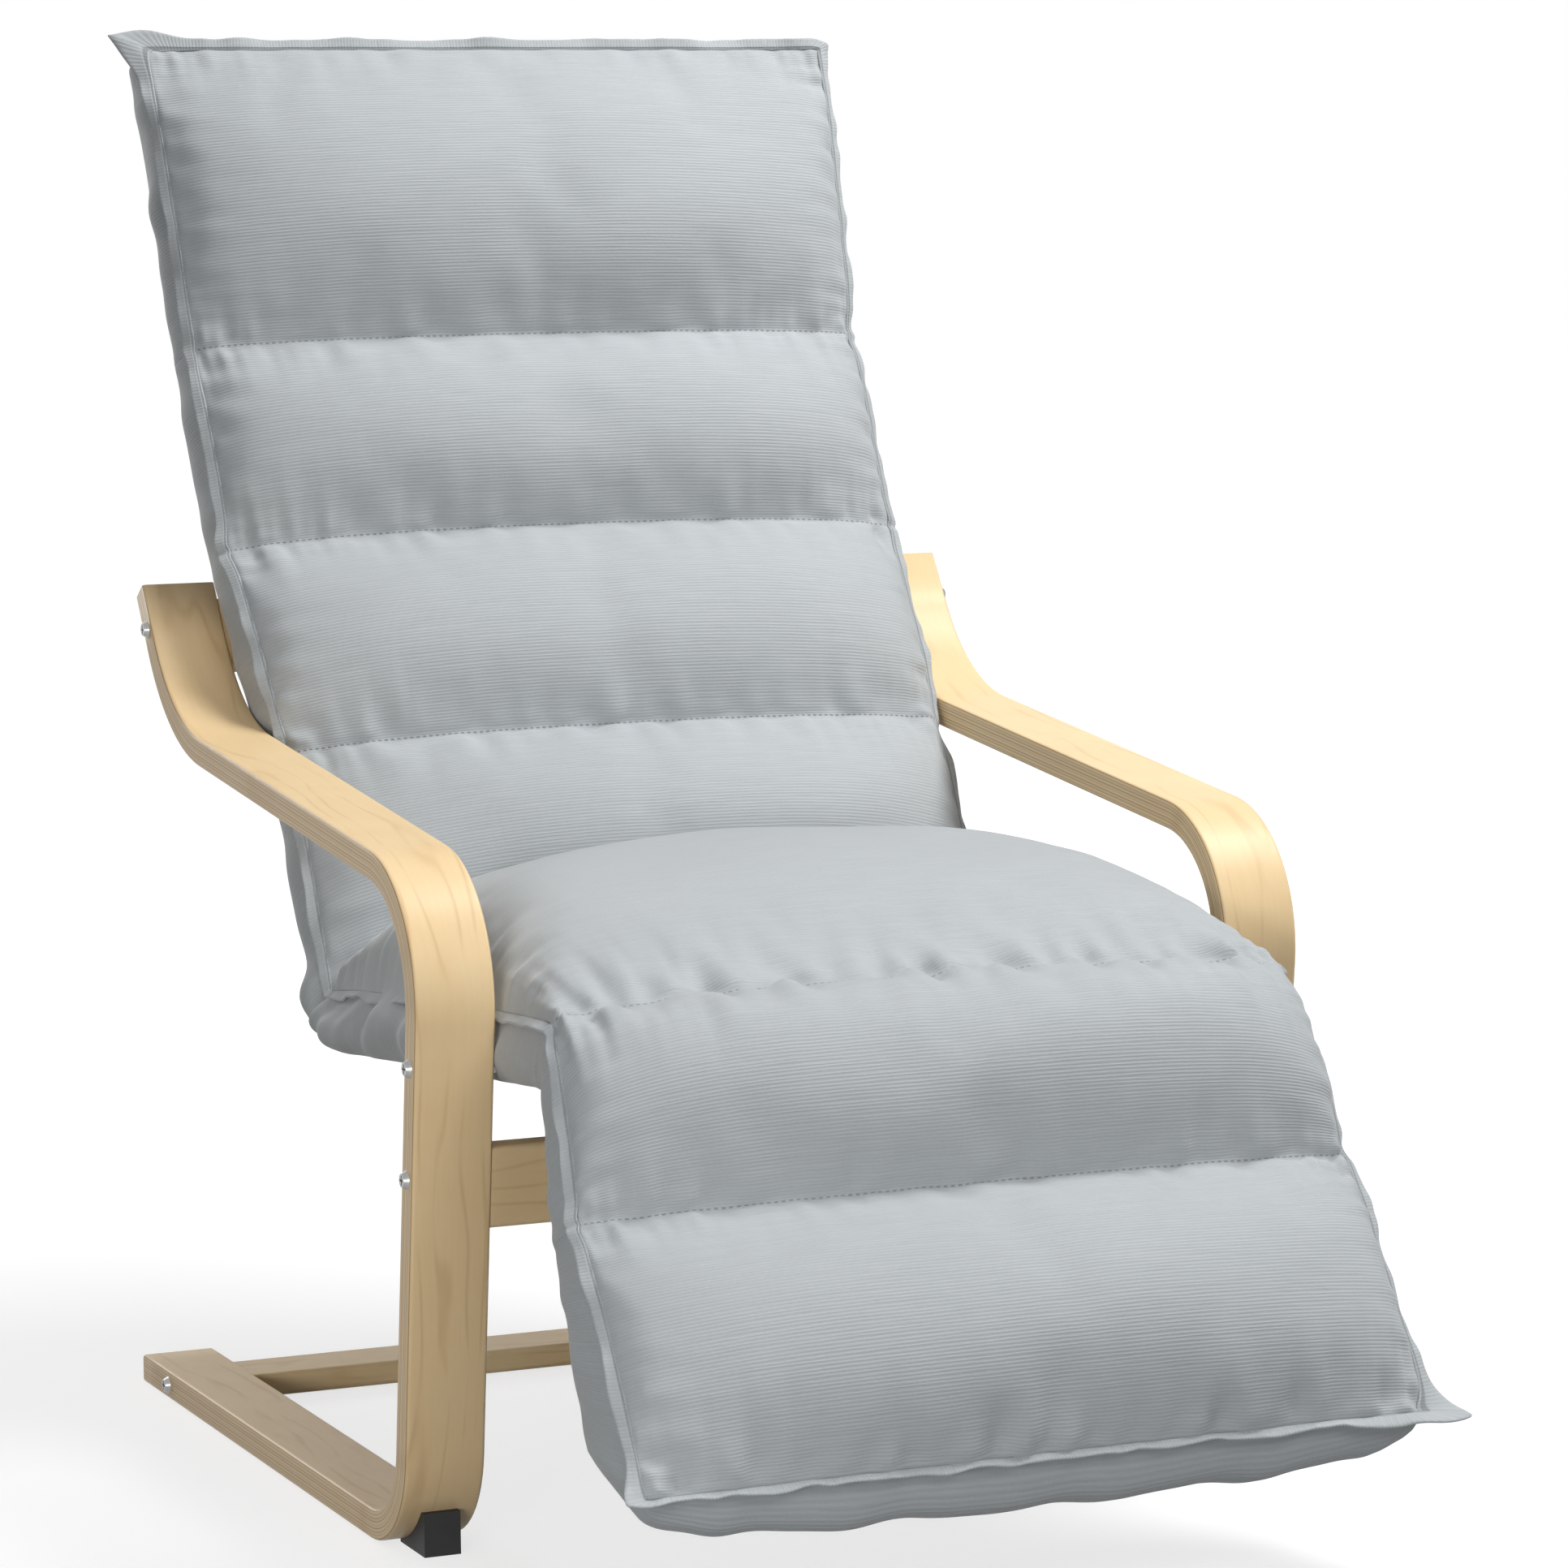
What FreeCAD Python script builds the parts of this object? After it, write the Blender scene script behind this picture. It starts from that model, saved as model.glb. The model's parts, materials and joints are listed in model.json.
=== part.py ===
import FreeCAD, Part
import math
import os

import Sketcher
from FreeCAD import Placement, Rotation, Vector

# Bentwood lounge recliner. Origin on the floor, +Z up, the sitter faces -Y, the sitter's left is +X.

# Driving dimensions in millimetres and degrees
SIZES = {
    # side frames, each one strip bent by its table of straight runs and bends
    "overall_width": 660,
    "strip_width": 57,
    "strip_thickness": 21,
    "strip_edge_ease": 1.5,
    "rear_reach": 429,
    "runner_straight": 542,
    "front_bend_radius": 68,
    "front_bend_angle": 83.2,
    "leg_straight": 301,
    "arm_bend_radius": 89,
    "arm_bend_angle": 90.9,
    "arm_straight": 387,
    "ear_bend_radius": 159,
    "ear_bend_angle": 50,
    "ear_straight": 49,
    # bolts through the strips, with their places along the strip
    "bolt_radius": 3,
    "bolt_clearance": 0.25,
    "bolt_length": 79,
    "bolt_end_room": 3,
    "bolt_head_radius": 6.5,
    "bolt_head_top_radius": 4.6,
    "bolt_head_height": 3.6,
    "bolt_recess_width": 1.4,
    "bolt_recess_depth": 1.6,
    "ear_bolt_inset": 33,
    "seat_bolt_rise": 272,
    "rail_bolt_rise": 195,
    "runner_bolt_inset": 66,
    # wooden cross rails, their square nuts and loose tenons
    "rail_width": 57,
    "rail_thickness": 18,
    "rail_edge_round": 4,
    "rail_bolt_offset": 8,
    "nut_width": 10,
    "nut_thickness": 5,
    "nut_setback": 15,
    "tenon_offset": 16,
    "tenon_length": 32,
    "tenon_width": 20,
    "tenon_thickness": 8,
    "wood_fit": 0.05,
    # rubber feet under the front bends
    "foot_width": 26,
    "foot_inset": 16,
    "foot_front": 68,
    "foot_height": 30,
    "foot_rear": 18,
    # steel tube frame inside the pad
    "tube_width": 19,
    "tube_wall": 1.5,
    "tube_inset": 33,
    "seat_slope": 4.9,
    "back_lean": 32,
    "head_lean": 17,
    "back_straight": 455,
    "head_straight": 318,
    "neck_bend_radius": 500,
    "corner_bend_radius": 60,
    "top_tube_drop": 16,
    "plug_length": 14,
    "plug_cap": 2,
    "spacer_radius": 7,
    "rail_screw_radius": 2.5,
    "rail_screw_spread": 300,
    "rail_screw_bite": 14,
    "rail_screw_head_radius": 5,
    "rail_screw_head_height": 3,
    # ratchet hinges at the knee
    "hinge_reach": 85,
    "legrest_drop": 67.1,
    "hinge_tube_gap": 30,
    "hinge_tail_length": 28,
    "cheek_thickness": 3,
    "cheek_radius": 14,
    "cheek_web_height": 13.7,
    "arm_plate_thickness": 4,
    "plate_gap": 0.2,
    "tooth_tip_radius": 16,
    "tooth_root_radius": 13,
    "tooth_step": 15,
    "tooth_gap_angle": 11,
    "tooth_overcut": 1,
    "legrest_travel": 60,
    "nose_angle": 84,
    "pivot_pin_radius": 4,
    "pivot_pin_head_radius": 7,
    "pivot_pin_head_height": 2,
    "pin_fit": 0.05,
    "pawl_pin_radius": 2,
    "pawl_pin_reach": 24,
    "pawl_pin_angle": 30,
    "pawl_boss_radius": 4.5,
    "pawl_lift": 0.7,
    "pawl_lever_height": 3.6,
    "pawl_nose_spread": 1.8,
    "pawl_neck_spread": 4.2,
    "pawl_back_spread": 5.5,
    "pawl_brow_spread": 3.7,
    "pawl_heel_length": 7,
    "pawl_heel_drop": 2.7,
    "pawl_pin_head_radius": 3.2,
    "pawl_pin_head_height": 1.2,
    "spring_thickness": 0.8,
    "spring_reach": 5.6,
    "spring_drop": 4.1,
    # leg rest frame
    "legrest_tube_length": 206,
    "end_tube_inset": 16,
    # webbing straps looped round the side tubes
    "strap_width": 50,
    "strap_thickness": 1.5,
    "strap_gap": 0.3,
    "strap_pitch": 85,
    # quilted pad and the fabric panels under it
    "cover_offset": 14.5,
    "cover_thickness": 2,
    "rear_gap": 0.3,
    "over_cut": 60,
    "soft_gap": 0.3,
    "knee_fold_gap": 0.5,
    "pad_side_gap": 1.5,
    "pad_wall": 19.5,
    "pad_bay_height": 11.9,
    "pad_end_wall": 18,
    "pad_corner_radius": 70,
    "pad_side_draw": 7,
    "pad_side_round": 26,
    "pad_flank_inset": 105,
    "pad_middle_half": 70,
    "shoulder_fullness": 0.36,
    "flank_fullness": 0.82,
    "seam_height": 45,
    "seam_bulge": 5,
    "top_bulge": 10,
    "end_bulge": 28,
    "crease_height": 62,
    "back_valley": 70,
    "back_crown": 104,
    "lumbar_seam": 205,
    "shoulder_seam": 395,
    "neck_seam": 561,
    "seat_crown": 118,
    "seat_crown_place": 215,
    "knee_height": 45,
    "knee_side_height": 36,
    "calf_crown": 80,
    "calf_seam": 121,
    "calf_valley": 56,
    "foot_crown": 104,
    "foot_end_reach": 312,
    "foot_end_height": 88,
    "foot_rear_reach": 252,
    "hinge_pocket_gap": 1.5,
    "hinge_pocket_half": 13,
}

doc = FreeCAD.newDocument("recliner")
sheet = doc.addObject("Spreadsheet::Sheet", "dims")
X_AXIS = Vector(1, 0, 0)
SIDES = {"right": -1, "left": 1}
TUBE_BORE = "dims.tube_width - 2 * dims.tube_wall"
NODES = []
next_row = 1


def add_size(name, value):
    """Write one named size into the sheet."""
    global next_row
    sheet.set(f"A{next_row}", name)
    sheet.set(f"B{next_row}", repr(float(value)))
    sheet.setAlias(f"B{next_row}", name)
    next_row += 1


for size_name, size_value in SIZES.items():
    add_size(size_name, size_value)
doc.recompute()


def size(name):
    """One size read back from the sheet."""
    return float(sheet.get(name))


class Line2:
    """A straight reference line in the YZ plane: points lie along it and off it, on its upper side."""

    def __init__(self, start, heading, upper=-1):
        self.start = Vector(0, *start)
        turn = math.radians(heading)
        self.along = Vector(0, math.cos(turn), math.sin(turn))
        self.up = Vector(0, -math.sin(turn), math.cos(turn)) * upper

    def at(self, reach, height=0.0):
        """The point a given way along the line and off it."""
        return self.start + self.along * reach + self.up * height


def meet(first, second):
    """How far along the first line it meets the second one."""
    gap = second.start - first.start
    cross = first.along.y * second.along.z - first.along.z * second.along.y
    return (gap.y * second.along.z - gap.z * second.along.y) / cross


def turned(centre, radius, angle):
    """The point at an angle on a circle in the YZ plane."""
    turn = math.radians(angle)
    return centre + Vector(0, math.cos(turn), math.sin(turn)) * radius


def at_x(point, x):
    """The same YZ point at another place across the chair."""
    return Vector(x, point.y, point.z)


# Side frame path: runner from its rear end, leg, arm and ear
half_width = size("overall_width") / 2
strip_middle = half_width - size("strip_width") / 2
inner_face = half_width - size("strip_width")
half_strip = size("strip_thickness") / 2
front_tangent = size("front_bend_radius") * math.tan(math.radians(size("front_bend_angle")) / 2)
arm_tangent = size("arm_bend_radius") * math.tan(math.radians(size("arm_bend_angle")) / 2)
ear_tangent = size("ear_bend_radius") * math.tan(math.radians(size("ear_bend_angle")) / 2)
leg_heading = 180 - size("front_bend_angle")
arm_heading = leg_heading - size("arm_bend_angle")
ear_heading = arm_heading + size("ear_bend_angle")
runner = Line2((size("rear_reach"), half_strip), 180)
front_corner = runner.at(size("runner_straight") + front_tangent)
leg = Line2((front_corner.y, front_corner.z), leg_heading)
leg_start = front_tangent
arm_corner = leg.at(front_tangent + size("leg_straight") + arm_tangent)
arm = Line2((arm_corner.y, arm_corner.z), arm_heading)
ear_corner = arm.at(arm_tangent + size("arm_straight") + ear_tangent)
ear = Line2((ear_corner.y, ear_corner.z), ear_heading)
ear_length = ear_tangent + size("ear_straight")
front_bend_centre = runner.at(size("runner_straight")) + Vector(0, 0, size("front_bend_radius"))

# Bolt axes on the strips
ear_bolt = ear.at(ear_length - size("ear_bolt_inset"))
seat_bolt = leg.at(leg_start + size("seat_bolt_rise"))
rail_bolt = leg.at(leg_start + size("rail_bolt_rise"))
runner_bolt = runner.at(size("runner_bolt_inset"))

# Seat and back lines of the tube frame: the seat hangs on the upper leg bolts, the back lies on the back rail
tube_half = size("tube_width") / 2
tube_bore = size("tube_width") - 2 * size("tube_wall")
tail_half = tube_bore / 2 - size("wood_fit")
tube_x = inner_face - size("tube_inset")
back_heading = 90 - size("back_lean")
back_direction = Line2((0, 0), back_heading, 1)
rail_half = size("rail_thickness") / 2
back_rail_middle = ear_bolt - back_direction.along * size("rail_bolt_offset")
back_contact = back_rail_middle + back_direction.up * (rail_half + size("rear_gap") + size("cover_offset"))
rearward = Line2((seat_bolt.y, seat_bolt.z), -size("seat_slope"), 1)
back_through = Line2((back_contact.y, back_contact.z), back_heading, 1)
seat_depth = meet(rearward, back_through)
corner = rearward.at(seat_depth)
seat = Line2((corner.y, corner.z), 180 - size("seat_slope"))
back = Line2((corner.y, corner.z), back_heading, 1)
rail_rise = (back_contact - corner).dot(back.along)
neck_turn = size("back_lean") - size("head_lean")
neck_tangent = size("neck_bend_radius") * math.tan(math.radians(neck_turn) / 2)
neck_corner = back.at(size("back_straight"))
head = Line2((neck_corner.y, neck_corner.z), 90 - size("head_lean"), 1)
corner_turn = back_heading + size("seat_slope")
corner_tangent = size("corner_bend_radius") * math.tan(math.radians(corner_turn) / 2)
hinge_place = seat_depth + size("hinge_reach")
hinge = seat.at(hinge_place)
legrest_heading = 180 - size("seat_slope") + size("legrest_drop")
legrest = Line2((hinge.y, hinge.z), legrest_heading)
fold = Line2((corner.y, corner.z), (back_heading + 180 - size("seat_slope")) / 2)
fold_half = math.radians((180 - size("seat_slope") - back_heading) / 2)

# Worked out lengths that the bent tubes and rails use
add_size("rail_length", 2 * inner_face)
add_size("seat_tube_run", hinge_place - size("hinge_tube_gap") - corner_tangent)
add_size("corner_turn", corner_turn)
add_size("back_tube_run", size("back_straight") - corner_tangent - neck_tangent)
add_size("neck_turn", neck_turn)
add_size("head_tube_run", size("head_straight") - neck_tangent)
add_size("cross_span", 2 * (tube_x - tube_half))
doc.recompute()


def node(name, thing):
    """Label a finished sub-part with the name of its file."""
    thing.Label = name
    NODES.append(thing)
    return thing


def origin_plane(body, role):
    """One of a body's own origin planes."""
    return next(o for o in body.Origin.OriginFeatures if o.Role == role)


def new_sketch(body, role, name):
    """An empty sketch on one of the body's origin planes."""
    sketch = body.newObject("Sketcher::SketchObject", name)
    sketch.AttachmentSupport = [(origin_plane(body, role), "")]
    sketch.MapMode = "FlatFace"
    return sketch


def bind(sketch, constraint, formula):
    """Add a constraint and tie its value to the sheet."""
    index = sketch.addConstraint(constraint)
    sketch.setExpression(f"Constraints[{index}]", formula)


def path_sketch(body, steps, reverse=False):
    """A path from the body's origin along Y, as a chain of runs and tangent bends named by their sizes."""
    sketch = new_sketch(body, "YZ_Plane", "path")
    point = Vector(0, 0, 0)
    heading = 180.0 if reverse else 0.0
    last = None
    for step in steps:
        if step[0] == "run":
            length = size(step[1])
            turn = math.radians(heading)
            ahead = point + Vector(math.cos(turn), math.sin(turn), 0) * length
            index = sketch.addGeometry(Part.LineSegment(point, ahead))
            ends = (1, 2)
            bind(sketch, Sketcher.Constraint("Distance", index, length), f"dims.{step[1]}")
        else:
            radius = size(step[1])
            sweep = size(step[2])
            left = step[3]
            side = math.radians(heading + 90 * left)
            centre = point + Vector(math.cos(side), math.sin(side), 0) * radius
            begin = side + math.pi
            finish = begin + math.radians(sweep) * left
            circle = Part.Circle(centre, Vector(0, 0, 1), radius)
            index = sketch.addGeometry(Part.ArcOfCircle(circle, min(begin, finish), max(begin, finish)))
            ends = (1, 2) if left > 0 else (2, 1)
            ahead = centre + Vector(math.cos(finish), math.sin(finish), 0) * radius
            heading += sweep * left
            bind(sketch, Sketcher.Constraint("Radius", index, radius), f"dims.{step[1]}")
            bind(sketch, Sketcher.Constraint("Angle", index, math.radians(sweep)), f"dims.{step[2]} * 1 deg")
        if last is None:
            sketch.addConstraint(Sketcher.Constraint("Coincident", index, ends[0], -1, 1))
            sketch.addConstraint(Sketcher.Constraint("Horizontal", index))
        else:
            sketch.addConstraint(Sketcher.Constraint("Tangent", last[0], last[1], index, ends[0]))
        last = (index, ends[1])
        point = ahead
    return sketch


def rounded_rectangle(sketch, across, high, round_size):
    """A centred rectangle with rounded corners, its sizes tied to the sheet."""
    radius = size(round_size)
    half_x = size(across) / 2
    half_y = size(high) / 2
    corners = [(1, 1), (-1, 1), (-1, -1), (1, -1)]
    arcs = []
    for turn, (right, up) in enumerate(corners):
        centre = Vector(right * (half_x - radius), up * (half_y - radius), 0)
        circle = Part.Circle(centre, Vector(0, 0, 1), radius)
        begin = turn * math.pi / 2
        arcs.append(sketch.addGeometry(Part.ArcOfCircle(circle, begin, begin + math.pi / 2)))
    sides = []
    for turn in range(4):
        begin = sketch.Geometry[arcs[turn]].EndPoint
        finish = sketch.Geometry[arcs[(turn + 1) % 4]].StartPoint
        sides.append(sketch.addGeometry(Part.LineSegment(begin, finish)))
    for turn in range(4):
        sketch.addConstraint(Sketcher.Constraint("Tangent", arcs[turn], 2, sides[turn], 1))
        sketch.addConstraint(Sketcher.Constraint("Tangent", sides[turn], 2, arcs[(turn + 1) % 4], 1))
    sketch.addConstraint(Sketcher.Constraint("Horizontal", sides[0]))
    sketch.addConstraint(Sketcher.Constraint("Vertical", sides[1]))
    for turn in range(3):
        sketch.addConstraint(Sketcher.Constraint("Equal", arcs[turn], arcs[turn + 1]))
    bind(sketch, Sketcher.Constraint("Radius", arcs[0], radius), f"dims.{round_size}")
    bind(sketch, Sketcher.Constraint("DistanceY", sides[2], 1, sides[0], 1, 2 * half_y), f"dims.{high}")
    bind(sketch, Sketcher.Constraint("DistanceX", sides[1], 1, sides[3], 1, 2 * half_x), f"dims.{across}")
    sketch.addConstraint(Sketcher.Constraint("Symmetric", arcs[0], 3, arcs[2], 3, -1, 1))


def eased_rectangle(sketch, across, high, ease):
    """A centred rectangle with its four corners cut off at an even slant, its sizes tied to the sheet."""
    half_x = size(across) / 2
    half_y = size(high) / 2
    slant = size(ease)
    corners = [
        Vector(half_x, slant - half_y, 0),
        Vector(half_x, half_y - slant, 0),
        Vector(half_x - slant, half_y, 0),
        Vector(slant - half_x, half_y, 0),
        Vector(-half_x, half_y - slant, 0),
        Vector(-half_x, slant - half_y, 0),
        Vector(slant - half_x, -half_y, 0),
        Vector(half_x - slant, -half_y, 0),
    ]
    lines = []
    for first, last in zip(corners, corners[1:] + corners[:1]):
        lines.append(sketch.addGeometry(Part.LineSegment(first, last)))
    for line, after in zip(lines, lines[1:] + lines[:1]):
        sketch.addConstraint(Sketcher.Constraint("Coincident", line, 2, after, 1))
    right, top, left, bottom = lines[0], lines[2], lines[4], lines[6]
    for first, last in ((right, left), (top, bottom)):
        for end in (1, 2):
            sketch.addConstraint(Sketcher.Constraint("Symmetric", first, end, last, end, -1, 1))
    sketch.addConstraint(Sketcher.Constraint("Symmetric", right, 1, right, 2, -1))
    sketch.addConstraint(Sketcher.Constraint("Symmetric", top, 1, top, 2, -2))
    bind(sketch, Sketcher.Constraint("DistanceX", left, 1, right, 1, 2 * half_x), f"dims.{across}")
    bind(sketch, Sketcher.Constraint("DistanceY", bottom, 1, top, 1, 2 * half_y), f"dims.{high}")
    bind(
        sketch,
        Sketcher.Constraint("DistanceY", right, 1, right, 2, 2 * (half_y - slant)),
        f"dims.{high} - 2 * dims.{ease}",
    )
    bind(
        sketch,
        Sketcher.Constraint("DistanceX", top, 2, top, 1, 2 * (half_x - slant)),
        f"dims.{across} - 2 * dims.{ease}",
    )


def swept_body(name, steps, draw_profile, place, reverse=False):
    """A body swept along a bent path, with its profile drawn by a function."""
    body = doc.addObject("PartDesign::Body", name)
    path = path_sketch(body, steps, reverse)
    profile = new_sketch(body, "XZ_Plane", "profile")
    draw_profile(profile)
    doc.recompute()
    pipe = body.newObject("PartDesign::AdditivePipe", "sweep")
    pipe.Profile = profile
    pipe.Spine = (path, [f"Edge{i + 1}" for i in range(len(steps))])
    body.Tip = pipe
    body.Placement = place
    return body


def tube_profile(sketch):
    """The ring of a square steel tube."""
    for width, formula in ((size("tube_width"), "dims.tube_width"), (tube_bore, TUBE_BORE)):
        half = width / 2
        corners = [Vector(half, half, 0), Vector(-half, half, 0), Vector(-half, -half, 0), Vector(half, -half, 0)]
        sides = []
        for first, last in zip(corners, corners[1:] + corners[:1]):
            sides.append(sketch.addGeometry(Part.LineSegment(first, last)))
        for side, after in zip(sides, sides[1:] + sides[:1]):
            sketch.addConstraint(Sketcher.Constraint("Coincident", side, 2, after, 1))
        sketch.addConstraint(Sketcher.Constraint("Horizontal", sides[0]))
        sketch.addConstraint(Sketcher.Constraint("Vertical", sides[1]))
        sketch.addConstraint(Sketcher.Constraint("Symmetric", sides[0], 1, sides[2], 1, -1, 1))
        sketch.addConstraint(Sketcher.Constraint("Symmetric", sides[1], 1, sides[3], 1, -1, 1))
        bind(sketch, Sketcher.Constraint("DistanceX", sides[0], 2, sides[0], 1, width), formula)
        bind(sketch, Sketcher.Constraint("DistanceY", sides[1], 2, sides[1], 1, width), formula)


def cylinder(radius, height, start, direction, extra=0.0):
    """A round bar from a point along a direction; its radius may grow by a named clearance."""
    bar = doc.addObject("Part::Cylinder", "bar")
    bar.setExpression("Radius", f"dims.{radius} + {extra}" if extra else f"dims.{radius}")
    bar.Height = height
    bar.Placement = Placement(start, Rotation(Vector(0, 0, 1), direction))
    return bar


def heading_of(direction):
    """The angle of a direction in the YZ plane, counted from +Y upwards."""
    return math.degrees(math.atan2(direction.z, direction.y))


def box_bar(formulas, centre, direction):
    """A box about a centre: its edges run across the chair, along a direction and square to it."""
    bar = doc.addObject("Part::Box", "bar")
    for edge, formula in zip(("Length", "Width", "Height"), formulas):
        bar.setExpression(edge, formula)
    bar.recompute()
    half = Vector(bar.Length.Value, bar.Width.Value, bar.Height.Value) * 0.5
    turn = Rotation(X_AXIS, heading_of(direction))
    bar.Placement = Placement(centre - turn.multVec(half), turn)
    return bar


def block(across, along, thick, centre, direction):
    """A plain box shape placed like a box bar."""
    shape = Part.makeBox(across, along, thick, Vector(across, along, thick) * -0.5)
    shape.Placement = Placement(centre, Rotation(X_AXIS, heading_of(direction)))
    return shape


def group(things):
    """Several tools as one."""
    joined = doc.addObject("Part::Compound", "tools")
    joined.Links = things
    return joined


def cut(base, tools):
    """A base with tools taken away from it."""
    result = doc.addObject("Part::Cut", "cut")
    result.Base = base
    result.Tool = tools[0] if len(tools) == 1 else group(tools)
    return result


def plain(name, shape):
    """A sub-part whose shape is worked out here from the sheet's sizes."""
    thing = doc.addObject("Part::Feature", name)
    thing.Shape = shape
    return node(name, thing)


def prism(points, low, high):
    """A polygon in the YZ plane carried across X from one place to another."""
    outline = Part.makePolygon([at_x(p, low) for p in points + points[:1]])
    return Part.Face(outline).extrude(Vector(high - low, 0, 0))


def bar_shape(radius, start, finish):
    """A round bar between two points."""
    run = finish - start
    return Part.makeCylinder(radius, run.Length, start, run)


def side_frames():
    """Two bent strips with their bolt holes and tenon pockets."""
    steps = [
        ("run", "runner_straight"),
        ("bend", "front_bend_radius", "front_bend_angle", -1),
        ("run", "leg_straight"),
        ("bend", "arm_bend_radius", "arm_bend_angle", -1),
        ("run", "arm_straight"),
        ("bend", "ear_bend_radius", "ear_bend_angle", 1),
        ("run", "ear_straight"),
    ]
    for side, sign in SIDES.items():
        place = Placement(at_x(runner.start, sign * strip_middle), Rotation())
        strip = swept_body(
            f"{side}_strip",
            steps,
            lambda s: eased_rectangle(s, "strip_width", "strip_thickness", "strip_edge_ease"),
            place,
            reverse=True,
        )
        tools = []
        for bolt in (ear_bolt, seat_bolt, rail_bolt, runner_bolt):
            start = at_x(bolt, sign * half_width)
            tools.append(cylinder("bolt_radius", size("strip_width"), start, X_AXIS * -sign, size("bolt_clearance")))
        for middle, face, wide in rail_frames().values():
            tools.append(tenon_pocket(middle, wide, sign))
        node(f"{side}_side_frame", cut(strip, tools))


def rail_frames():
    """Middle, hidden face and width direction of the three rails, in section."""
    offset = size("rail_bolt_offset")
    return {
        "back_rail": (back_rail_middle, back.up * -1, back.along),
        "front_lower_rail": (rail_bolt - leg.along * offset, leg.up, leg.along),
        "rear_floor_rail": (runner_bolt + runner.along * offset, Vector(0, 0, -1), runner.along * -1),
    }


def tenon_centre(middle, wide, sign):
    """Centre of the loose tenon across the joint of a rail and a side frame."""
    return at_x(middle - wide * (size("tenon_offset") - size("rail_bolt_offset")), sign * inner_face)


def tenon_pocket(middle, wide, sign):
    """The pocket that one loose tenon needs in rail and side frame."""
    edges = ("tenon_length", "tenon_width", "tenon_thickness")
    formulas = [f"dims.{edge} + 2 * dims.wood_fit" for edge in edges]
    return box_bar(formulas, tenon_centre(middle, wide, sign), wide)


def nut_centre(middle, wide, sign):
    """Centre of the square nut on a rail's bolt."""
    return at_x(middle + wide * size("rail_bolt_offset"), sign * (inner_face - size("nut_setback")))


def nut_slot(middle, face, wide, sign):
    """The slot that lets a square nut in from the rail's hidden face."""
    shut = size("nut_width") / 2 + size("wood_fit")
    centre = nut_centre(middle, wide, sign) + face * ((rail_half - shut) / 2)
    formulas = [
        "dims.nut_thickness + 2 * dims.wood_fit",
        "dims.nut_width + 2 * dims.wood_fit",
        "dims.rail_thickness / 2 + dims.nut_width / 2 + dims.wood_fit",
    ]
    return box_bar(formulas, centre, wide)


def rail_screw_places():
    """Where the back rail's two screws stand across the chair."""
    return (-size("rail_screw_spread") / 2, size("rail_screw_spread") / 2)


def rails():
    """Three flat rails, worked at both ends for a bolt, its square nut and a loose tenon."""
    for name, (middle, face, wide) in rail_frames().items():
        body = doc.addObject("PartDesign::Body", f"{name}_blank")
        profile = new_sketch(body, "YZ_Plane", "profile")
        rounded_rectangle(profile, "rail_thickness", "rail_width", "rail_edge_round")
        pad = body.newObject("PartDesign::Pad", "pad")
        pad.Profile = profile
        pad.setExpression("Length", "dims.rail_length")
        body.Tip = pad
        body.Placement = Placement(at_x(middle, -inner_face), Rotation(X_AXIS, heading_of(wide) - 90))
        bolt = middle + wide * size("rail_bolt_offset")
        bore_depth = size("bolt_length") - size("strip_width") + size("bolt_end_room")
        tools = []
        for sign in SIDES.values():
            bore_start = at_x(bolt, sign * inner_face)
            tools.append(cylinder("bolt_radius", bore_depth, bore_start, X_AXIS * -sign, size("bolt_clearance")))
            tools.append(nut_slot(middle, face, wide, sign))
            tools.append(tenon_pocket(middle, wide, sign))
        if name == "back_rail":
            for x in rail_screw_places():
                start = at_x(middle, x) - back.up * rail_half
                depth = size("rail_thickness")
                tools.append(cylinder("rail_screw_radius", depth, start, back.up, size("bolt_clearance")))
        node(name, cut(body, tools))


def bolt_shape(start, direction):
    """A pan head bolt with a cross recess, its head seated on the start point."""
    head = size("bolt_head_radius")
    rise = size("bolt_head_height")
    wide = size("bolt_recess_width")
    down = Vector(0, 0, -1)
    pan = Part.makeCone(head, size("bolt_head_top_radius"), rise, Vector(0, 0, 0), down)
    for long_x, long_y in ((head, wide), (wide, head)):
        deep = size("bolt_recess_depth")
        pan = pan.cut(Part.makeBox(long_x, long_y, deep, Vector(-long_x / 2, -long_y / 2, -rise)))
    shank = Part.makeCylinder(size("bolt_radius"), size("bolt_length"))
    bolt = pan.fuse(shank).removeSplitter()
    bolt.Placement = Placement(start, Rotation(Vector(0, 0, 1), direction))
    return bolt


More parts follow.
